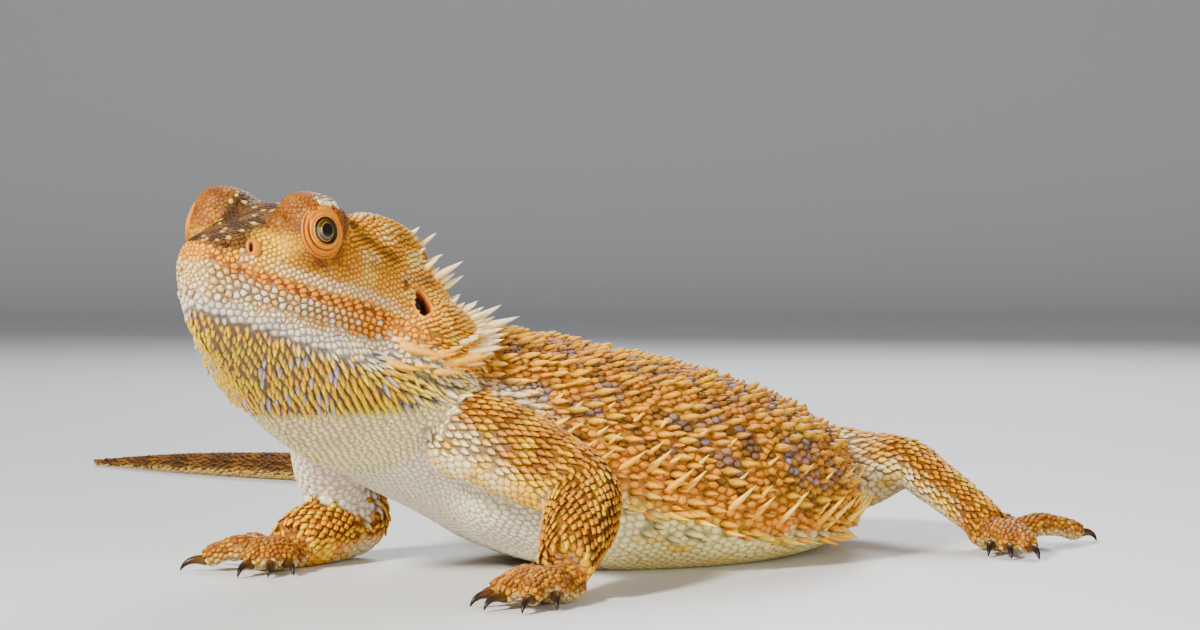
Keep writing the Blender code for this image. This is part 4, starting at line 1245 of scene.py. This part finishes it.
    # what the skin shows between them: the root colour under long scales and the markings darkened towards
    # the rim colour elsewhere, partly the darker skin and partly painted shade in the gaps
    between = mix(colours, look["rim"], 0.75)
    look["gap"] = np.where((look["length"] > 0)[:, None], look["root"], between)
    over(line, gap=paint(128, 64, 18))
    return look


def all_of(roots):
    return np.ones(len(roots["place"]), bool)


def in_front(roots):
    """Scales of the face, up to behind the eyes."""
    return in_head(roots["place"])[0] < 27


def upper(roots):
    """Scales of the upper half of the trunk."""
    return (roots["angle"] % 1.0) < 0.5


HEAD_FORMS = ("cranium", *(f"{kind}_{word}" for kind in SWELLINGS for word in ("left", "right")))
COAT_PIECES = {
    "scales_face": (HEAD_FORMS, in_front),
    "scales_crown": (HEAD_FORMS, lambda roots: ~in_front(roots)),
    "scales_beard": (("beard",), all_of),
    "scales_back": (("trunk",), upper),
    "scales_belly": (("trunk",), lambda roots: ~upper(roots)),
    "scales_tail": (("tail",), all_of),
    **{
        f"scales_{limb}": ((limb, f"palm_{limb}", *(f"toe_{limb}_{k}" for k in range(1, 6))), all_of)
        for limb in LIMBS
    },
}


def patch_places(roots, names, members):
    """A place on the piece's unwrap for each scale: a band per form, its share along by its angle round."""
    large = ("cranium", "beard", "trunk", "tail", *LIMBS)
    girths = np.array([3.0 if name in large else 0.7 for name in members])
    tops = np.concatenate([[0], np.cumsum(girths / girths.sum())])
    places = np.zeros((len(roots["place"]), 2))
    for k, name in enumerate(members):
        mask = roots["form"] == names.index(name)
        angle, share = roots["angle"][mask] % 1.0, np.clip(roots["share"][mask], 0, 1)
        places[mask, 0] = 0.004 + 0.992 * share
        places[mask, 1] = tops[k] + (0.004 + 0.992 * angle) * (tops[k + 1] - tops[k])
    return np.clip(places, 0.003, 0.997)


# ---------------- eyes, lids, ears, nostrils and claws
def hollow_skin(skin):
    """Draws the skin in behind the eyes, the ears and the nostrils, so that their own pieces show."""
    points = read_vectors(skin.data, "co", MM)
    for side in (-1, 1):
        centre, gaze, _, _ = eye_frame(side)
        step = points - centre
        far = np.linalg.norm(step, axis=1)
        lean = np.degrees(np.arccos(np.clip(unit(step) @ gaze, -1, 1)))
        limit = 3.2 + 6 * ramp(lean, 48, 58)
        pull = (far < 9) & (far > limit) & (lean < 58)
        points[pull] = centre + unit(step[pull]) * limit[pull][:, None]
        dip = 3.2 * ramp(ear_oval(points, side, 3.2, 2.0), 1.1, 0.75)
        points -= dip[:, None] * SITES["ear", side][1]
        centre, out = SITES["nostril", side]
        dip = 1.3 * ramp(np.linalg.norm(points - centre, axis=1), 1.7, 1.0)
        points -= dip[:, None] * out
    skin.data.vertices.foreach_set("co", (points * MM).ravel())
    skin.data.update()


def polar_piece(name, frame_there, lean, radius, tint, material, sides=96):
    """A surface round an axis: a distance from the centre for each lean, in degrees, and each way round."""
    centre, axis, first, second = frame_there
    lean_grid, angle_grid = np.meshgrid(np.radians(lean), turns(sides), indexing="ij")
    way = (
        np.cos(lean_grid)[..., None] * axis
        + (np.sin(lean_grid) * np.cos(angle_grid))[..., None] * first
        + (np.sin(lean_grid) * np.sin(angle_grid))[..., None] * second
    )
    degrees = np.degrees(lean_grid)
    points = centre + way * radius(degrees, angle_grid)[..., None]
    j = np.arange(sides)
    ends = [j[::-1].tolist(), (j + (len(lean) - 1) * sides).tolist()]
    faces = grid_faces(len(lean), sides).tolist() + ends
    if np.cross(first, second) @ axis > 0:
        faces = [face[::-1] for face in faces]
    colours = tint(degrees.ravel(), angle_grid.ravel())
    return add_mesh(name, points.reshape(-1, 3), faces, material, colours)


def eye_piece(side, word, material):
    """A ball whose front is painted in rings: round pupil, gold line, dark iris, gold ring and dark rim."""
    lean = np.concatenate([np.linspace(0.6, 39, 64), np.linspace(43, 178, 22)])

    def radius(lean, angle):
        return EYE_RADIUS + 0.22 * ramp(lean, 34, 16)

    def tint(lean, angle):
        fleck = np.sin(angle * 23 + np.sin(lean)) * 0.5 + np.sin(angle * 41 + lean) * 0.5
        gold = paint(206, 170, 104) * (0.75 + 0.3 * fleck[:, None])
        olive = mix(paint(30, 24, 16), paint(92, 70, 40), np.clip(0.35 + 0.5 * fleck, 0, 1))
        rings = mix(paint(16, 12, 10), gold, 0.9 * bump(lean, 17.8, 1.0))
        rings = mix(rings, olive, ramp(lean, 18.4, 19.2) * ramp(lean, 27.0, 26.0))
        rings = mix(rings, gold, bump(lean, 27.2, 1.6))
        return mix(rings, olive, 0.5 * bump(lean, 30, 1.4))

    return polar_piece(f"eye_ball_{word}", eye_frame(side), lean, radius, tint, material)


def lids_piece(side, word, material):
    """The turret: a lid with a thin rim at the eye, ringed folds, and fine beads on its lower half."""

    def opening(angle):
        return 32.0 + 1.8 * np.cos(2 * angle) - 0.8 * np.sin(angle)

    def folds_at(lean, angle):
        return np.cos((lean - opening(angle)) * 0.75 + 0.6 * np.sin(3 * angle))

    def lower(angle):
        return ramp(-np.sin(angle), -0.55, 0.15)

    def radius(lean, angle):
        start, low = opening(angle), lower(angle)
        inner, outer = 4.78, 5.95 + 0.25 * np.sin(angle) ** 2
        base = inner + (outer - inner) * ramp(lean, 33, 62)
        folds = 0.07 * folds_at(lean, angle) * ramp((lean - start) / 10, 0.0, 0.5) * ramp(lean, 66, 50)
        crease = -0.5 * bump(lean, 48 + 2 * np.sin(angle), 3.0) * low - 0.3 * bump(lean, 56, 2.5)
        rim = 0.2 * bump(lean, start + 1.8, 2.6)
        beads = np.cos(angle * 46 + np.floor(lean / 2.0) * math.pi) * np.cos(lean * 2 * math.pi / 4.0)
        fine = 0.085 * beads * (ramp(lean, 34, 40) * low + ramp(lean, 52, 58)).clip(0, 1)
        inside = np.where(lean < start, (start - lean) * 0.34, 0.0)
        return base + folds + crease + rim + fine - inside - 1.4 * ramp(lean, 58, 70)

    def tint(lean, angle):
        start, low = opening(angle), lower(angle)
        # painted shade: darker orange in the furrows between the ringed folds
        painted_furrow_shade = np.clip(0.4 - 0.4 * folds_at(lean, angle), 0, 1)
        colour = mix(paint(204, 124, 0), paint(180, 98, 0), painted_furrow_shade)
        colour = mix(colour, paint(208, 132, 2), 0.7 * ramp(np.sin(angle), 0.2, 0.9) * ramp(lean, 60, 50))
        colour = mix(colour, paint(218, 150, 50), 0.6 * low * ramp(lean, 34, 40) * ramp(lean, 50, 46))
        # painted shade: dark red along the two creases of the lid, where its surface dips
        colour = mix(colour, paint(108, 34, 10), 0.9 * bump(lean, 48 + 2 * np.sin(angle), 2.4) * low)
        colour = mix(colour, paint(120, 50, 10), 0.8 * bump(lean, 56, 2.6))
        speckle = np.sin(angle * 37 + lean * 1.3) * np.sin(lean * 2.1 + angle * 11)
        speckle = speckle * np.sin(angle * 19 - lean)
        colour = colour * (1 + 0.22 * speckle[:, None])
        return mix(colour, paint(34, 20, 14), ramp(lean, start + 2.0, start + 0.4))

    lean = np.linspace(28.0, 70, 72)
    return polar_piece(f"eye_lids_{word}", eye_frame(side), lean, radius, tint, material, 144)


def ear_piece(side, word, surface, material):
    """A slanting oval funnel: a raised rim of skin that falls to the drum, painted darker with depth,
    partly the drum's own dark colour and partly painted shade in the recess.
    """
    share, angle = np.meshgrid(np.linspace(0, 1, 22), turns(56), indexing="ij")
    profile = np.interp(share, (0, 0.15, 0.3, 0.42, 0.7, 1), (1.42, 1.3, 1.12, 0.95, 0.74, 0.02))
    level = np.interp(share, (0, 0.12, 0.28, 0.4, 0.7, 1), (-0.5, 0.25, 0.42, -0.1, -2.0, -2.6))
    lobes = 1 + 0.05 * np.sin(3 * angle) + 0.04 * np.sin(5 * angle)
    x = 2.85 * profile * lobes * np.cos(angle)
    y = 1.6 * profile * lobes * np.sin(angle) * (1 - 0.12 * np.cos(angle))
    level = level + 0.05 * np.cos(14 * angle) * (share < 0.35)
    # darker down the funnel: partly the drum's own dark colour, partly painted shade in the recess
    colours = mix(paint(226, 146, 84), paint(96, 40, 22), ramp(share.ravel(), 0.25, 0.5))
    colours = mix(colours, paint(34, 14, 12), ramp(share.ravel(), 0.45, 0.65))
    return surface.relief(f"ear_{word}", ear_frame(side), x, y, level, colours, material)


def nostril_piece(side, word, surface, material):
    """A raised round scale with a slit towards the snout's tip: a dome less a groove. The slit is painted
    dark as shade in the opening, and the dome's edge darker as shade at its foot.
    """
    centre, out = SITES["nostril", side]
    ahead = square_to(-HEAD_BACK, out)
    r, a = np.meshgrid(np.linspace(0, 1, 26), turns(48), indexing="ij")
    x, y = 1.75 * r * np.cos(a), 2.1 * r * np.sin(a)
    slit = np.exp(-(((x - 0.5 - 0.12 * y) / 0.36) ** 2) - (y / 0.9) ** 4)
    level = 0.5 * (1 - r**3) - 0.5 * (r > 0.99) - 1.1 * slit
    # painted shade: dark in the slit's opening, and darker round the dome's edge
    colours = mix(paint(196, 120, 4), paint(70, 26, 10), np.clip(slit.ravel() * 1.6, 0, 1))
    colours = mix(colours, paint(140, 78, 30), ramp(r.ravel(), 0.75, 1.0))
    frame_there = (centre, out, ahead, np.cross(out, ahead))
    return surface.relief(f"nostril_{word}", frame_there, x, y, level, colours, material)


def claws_piece(limb, material):
    """Five claws: each a cone that leaves its toe level and curves down to the floor."""
    claws = []
    share = np.linspace(0, 1, 14)
    for path, _, ahead in toe_lines(limb):
        root = path[-1] - CLAW_SINK * ahead
        drop = root[2] - 0.25
        line = root + np.outer(CLAW_LENGTH * np.sin(share * 1.35) / math.sin(1.35), ahead)
        line[:, 2] = root[2] + 0.5 * np.sin(math.pi * share) - drop * share**1.7
        claws.append(closed_form(tube_form(line, CLAW_RADIUS * (1 - share) ** 0.8 + 0.09, 14)))
    tint = np.repeat(mix(paint(84, 52, 32), paint(30, 18, 14), ramp(share, 0.1, 0.7)), 14, 0)
    return add_mesh(f"claws_{limb}", *joined(claws), material, np.tile(tint, (len(claws), 1)))


# ---------------- long spines
# Spines round the back of the head on each side: back, aside, up, length and rise.
CREST = (
    (49.5, 13.0, 16.6, 4.4, 0.9),
    (50.5, 18.4, 11.4, 6.2, 0.8),
    (54.5, 18.6, 10.6, 4.4, 0.8),
    (57.0, 21.4, 6.8, 4.0, 0.8),
    (59.0, 22.8, 5.3, 6.6, 0.7),
    (60.5, 23.4, 4.0, 7.6, 0.45),
    (61.5, 24.0, 2.4, 5.4, 0.3),
    (59.7, 25.5, 0.8, 5.4, 0.3),
    (55.0, 26.8, -1.9, 6.8, 0.3),
    (50.0, 26.4, -5.4, 8.0, 0.25),
    (41.6, 21.8, -4.8, 9.0, 0.0),
)


def crest_spines(surface):
    """The named spines, with shorter ones beside and between them."""
    line = smooth(CREST, 2)
    size = np.where(np.arange(len(line)) % 2 == 0, 1.0, 0.66)
    rows = np.column_stack([line[:, :3], line[:, 3] * size, line[:, 4]])
    second = rows * np.array((1, 1, 1, 0.5, 1)) + np.array((-3.0, -0.4, 1.0, 0, 0.15))
    third = rows[10:] * np.array((1, 1, 1, 0.7, 1)) + np.array((-1.8, -0.8, -2.6, 0, -0.15))
    rows = np.vstack([rows, second, third])
    rows[:, 3] *= CHANCE.uniform(0.85, 1.1, len(rows))
    root, ahead = [], []
    for side in (-1, 1):
        root.append(on_head(rows[:, 0], side * rows[:, 1], rows[:, 2]))
        way = np.column_stack([np.full(len(rows), side * 0.65), np.full(len(rows), 0.75), rows[:, 4]])
        ahead.append(way @ HEAD.T)
    place = surface.rooted(np.vstack(root))[0]
    length = np.tile(rows[:, 3], 2)
    lot = CHANCE.uniform(size=len(place))
    low = np.tile(ramp(rows[:, 2], -1.5, -4.0) * ramp(rows[:, 0], 56, 51), 2)
    tip = mix(paint(250, 242, 224), paint(240, 200, 132), lot * 0.5)
    return {
        "root": place,
        "ahead": np.vstack(ahead) + CHANCE.normal(0, 0.06, place.shape),
        "bend": np.tile(HEAD @ np.array((0.0, 0.0, 0.12)), (len(place), 1)),
        "length": length * 1.05,
        "radius": 0.5 + 0.15 * length,
        "base": mix(paint(230, 168, 84), paint(200, 168, 128), lot * 0.6),
        "tip": mix(tip, paint(236, 170, 70), low),
    }


def flank_spines(forms, surface):
    """Uneven rows of long spines along each flank, pointing out, back and up."""
    rings = forms["trunk"]
    count, sides = rings.shape[:2]
    roots, aheads, lengths = [], [], []
    for side in (-1, 1):
        for offset, long, every in FLANK_ROWS:
            share = np.linspace(0.37, 0.9, every) + CHANCE.normal(0, 0.0035, every)
            angle = line_height(FLANK, share) + offset
            angle = (angle if side > 0 else 0.5 - angle) % 1.0
            f = share * (count - 1)
            i, t = np.minimum(f.astype(int), count - 2), (f % 1)[:, None]
            j = np.round(angle * sides).astype(int) % sides
            place = (1 - t) * rings[i, j] + t * rings[i + 1, j]
            along = unit(rings[i + 1, j] - rings[i, j])
            outward = unit((place - rings[i].mean(1)) * np.array((1, 1, 0)))
            roots.append(place + CHANCE.normal(0, 0.35, place.shape))
            rise = 0.75 if offset > 0 else -0.35
            aheads.append(0.75 * outward + 0.6 * along + np.array((0, 0, rise)))
            swell = np.sin(math.pi * np.clip((share - 0.33) / 0.6, 0, 1)) ** 0.5
            lengths.append(long * (0.55 + 0.45 * swell) * CHANCE.uniform(0.82, 1.12, every))
    root = surface.rooted(np.vstack(roots))[0]
    length = np.concatenate(lengths)
    lot = CHANCE.uniform(size=len(root))
    return {
        "root": root,
        "ahead": np.vstack(aheads) + CHANCE.normal(0, 0.07, root.shape),
        "bend": np.tile(np.array((0.0, 0.0, 0.14)), (len(root), 1)),
        "length": length,
        "radius": 0.4 + 0.12 * length,
        "base": mix(paint(228, 142, 50), paint(232, 172, 84), lot),
        "tip": mix(paint(248, 220, 150), paint(240, 184, 90), CHANCE.uniform(size=len(root))),
    }


# ---------------- finishes
def marked_material(name, roughness, grain, depth, coat=0.0, value=1.0):
    """A finish that takes its colour from the markings, with a fine grain of this many bumps per metre."""
    made = bpy.data.materials.new(name)
    made.use_nodes = True
    nodes, links = made.node_tree.nodes, made.node_tree.links

    def node(kind, values):
        new = nodes.new("ShaderNode" + kind)
        for key, value in values.items():
            new.inputs[key].default_value = value
        return new

    shader = nodes["Principled BSDF"]
    marking = node("Attribute", {})
    marking.attribute_name = "Marking"
    place = node("TexCoord", {})
    fine = node("TexNoise", {"Scale": grain, "Detail": 3.0})
    shade = node(
        "MapRange", {"From Min": 0.3, "From Max": 0.7, "To Min": 0.8 * value, "To Max": 1.14 * value}
    )
    mixed = node("VectorMath", {})
    mixed.operation = "SCALE"
    rough = node("MapRange", {"To Min": roughness - 0.1, "To Max": roughness + 0.1})
    raised = node("Bump", {"Strength": 0.5, "Distance": depth})
    for source, output, target, socket in (
        (place, "Object", fine, "Vector"),
        (fine, "Fac", shade, "Value"),
        (marking, "Color", mixed, 0),
        (shade, "Result", mixed, "Scale"),
        (mixed, "Vector", shader, "Base Color"),
        (fine, "Fac", rough, "Value"),
        (rough, "Result", shader, "Roughness"),
        (fine, "Fac", raised, "Height"),
        (raised, "Normal", shader, "Normal"),
    ):
        links.new(source.outputs[output], target.inputs[socket])
    shader.inputs["Coat Weight"].default_value = coat
    shader.inputs["Coat Roughness"].default_value = 0.04
    shader.inputs["Specular IOR Level"].default_value = 0.22
    return made


# ---------------- stage, lights and camera
def add_stage():
    """A pale floor that curves up behind."""
    depth = np.linspace(0, 1, 40)
    reach = np.interp(depth, (0, 0.6, 1), (-1.6, 1.6, 2.6))
    lift = 0.9 * ramp(depth, 0.62, 1.0) ** 1.5
    side = np.linspace(-2.4, 2.4, 3)
    slant = math.sin(math.pi / 4)
    heading, right = np.array((-slant, slant, 0)), np.array((slant, slant, 0))
    points = reach[:, None, None] * heading + side[None, :, None] * right + lift[:, None, None] * UP
    material = bpy.data.materials.new("floor")
    material.use_nodes = True
    shader = material.node_tree.nodes["Principled BSDF"]
    shader.inputs["Base Color"].default_value = (0.62, 0.64, 0.67, 1.0)
    shader.inputs["Roughness"].default_value = 0.5
    faces = grid_faces(40, 3, closed=False).tolist()
    add_mesh("floor", points.reshape(-1, 3) / MM, faces, material)


def add_light(name, place, aim, size, power, colour=(1, 1, 1)):
    light = bpy.data.lights.new(name, "AREA")
    light.size = size
    light.energy = power
    light.color = colour
    lamp = bpy.data.objects.new(name, light)
    lamp.location = place
    lamp.rotation_euler = (Vector(aim) - Vector(place)).to_track_quat("-Z", "Y").to_euler()
    bpy.context.scene.collection.objects.link(lamp)


def add_lights():
    aim = (0.0, -0.02, 0.03)
    add_light("key", (0.05, -0.85, 0.55), aim, 0.14, 25.0, (1.0, 0.95, 0.86))
    add_light("fill", (0.9, -0.3, 0.25), aim, 0.6, 9.0, (1.0, 0.97, 0.92))
    add_light("back", (-0.5, 0.7, 0.6), aim, 0.5, 9.0)
    world = bpy.data.worlds.new("studio")
    world.use_nodes = True
    world.node_tree.nodes["Background"].inputs["Color"].default_value = (0.95, 0.97, 1.0, 1.0)
    world.node_tree.nodes["Background"].inputs["Strength"].default_value = 0.2
    bpy.context.scene.world = world


def add_camera():
    """A long lens at the animal's eye height, level, looking between its left side and its face."""
    lens = bpy.data.cameras.new("camera")
    lens.sensor_width = 36.0
    lens.lens = 100.0
    lens.shift_y = -0.0817
    lens.clip_start = 0.01
    camera = bpy.data.objects.new("camera", lens)
    camera.location = (0.4794, -0.4921, 0.070)
    camera.rotation_euler = (math.radians(90), 0, math.radians(45))
    bpy.context.scene.collection.objects.link(camera)
    bpy.context.scene.camera = camera


# ---------------- the whole animal
def dress(piece, slot, *nodes):
    """Rides a piece on the one body and hides the solids that it stands for. The slot is not used."""
    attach(piece, "root")
    if nodes:
        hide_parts(*nodes)


def main():
    hide = marked_material("hide", 0.6, 2600, 0.00008, value=0.8)
    scale_horn = marked_material("scale_horn", 0.5, 1800, 0.00006)
    spine_horn = marked_material("spine_horn", 0.48, 1500, 0.00006)
    lid_skin = marked_material("lid_skin", 0.55, 3400, 0.00012)
    wet_eye = marked_material("wet_eye", 0.25, 900, 0.00001, coat=0.7)
    claw_horn = marked_material("claw_horn", 0.32, 900, 0.00004)

    forms = all_forms()
    names = list(forms)
    skin = grow_skin(forms, hide)
    surface = Surface(skin.data)
    find_sites(surface)
    roots = coat_roots(forms, surface)
    looks = scale_looks(roots, names, all_markings(roots, names))
    looks.update(cell_outlines(roots))
    for name, (members, wanted) in COAT_PIECES.items():
        shapes = []
        inside = np.isin(roots["form"], [names.index(m) for m in members]) & wanted(roots)
        for shape, like_it in ((mounds, looks["length"] <= 0), (lancets, looks["length"] > 0)):
            chosen = inside & like_it
            if chosen.any():
                some = keep(roots, chosen)
                shapes.append(shape(some, keep(looks, chosen), patch_places(some, names, members)))
        dress(add_coat(name, shapes, scale_horn), "skin")

    # the skin carries the gap colour of the nearest scale: its markings darkened, partly the darker skin
    # between scales and partly painted shade
    tree = tree_of(roots["place"])
    put_colours(skin.data, looks["gap"][[tree.find(p)[1] for p in surface.points]])
    hollow_skin(skin)
    dress(skin, "skin", *(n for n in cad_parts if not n.startswith(("eye_", "claw_", "ear_"))))
    for side, word in HALVES:
        dress(eye_piece(side, word, wet_eye), "eye", f"eye_{word}")
        dress(ear_piece(side, word, surface, lid_skin), "ear_drum", f"ear_drum_{word}")
        dress(lids_piece(side, word, lid_skin), "skin")
        dress(nostril_piece(side, word, surface, lid_skin), "skin")
    for limb in LIMBS:
        dress(claws_piece(limb, claw_horn), "claw", *(f"claw_{limb}_{k}" for k in range(1, 6)))
    dress(add_spikes("crest_spines", crest_spines(surface), spine_horn), "skin")
    dress(add_spikes("flank_spines", flank_spines(forms, surface), spine_horn), "skin")
    add_stage()
    add_lights()
    add_camera()


main()
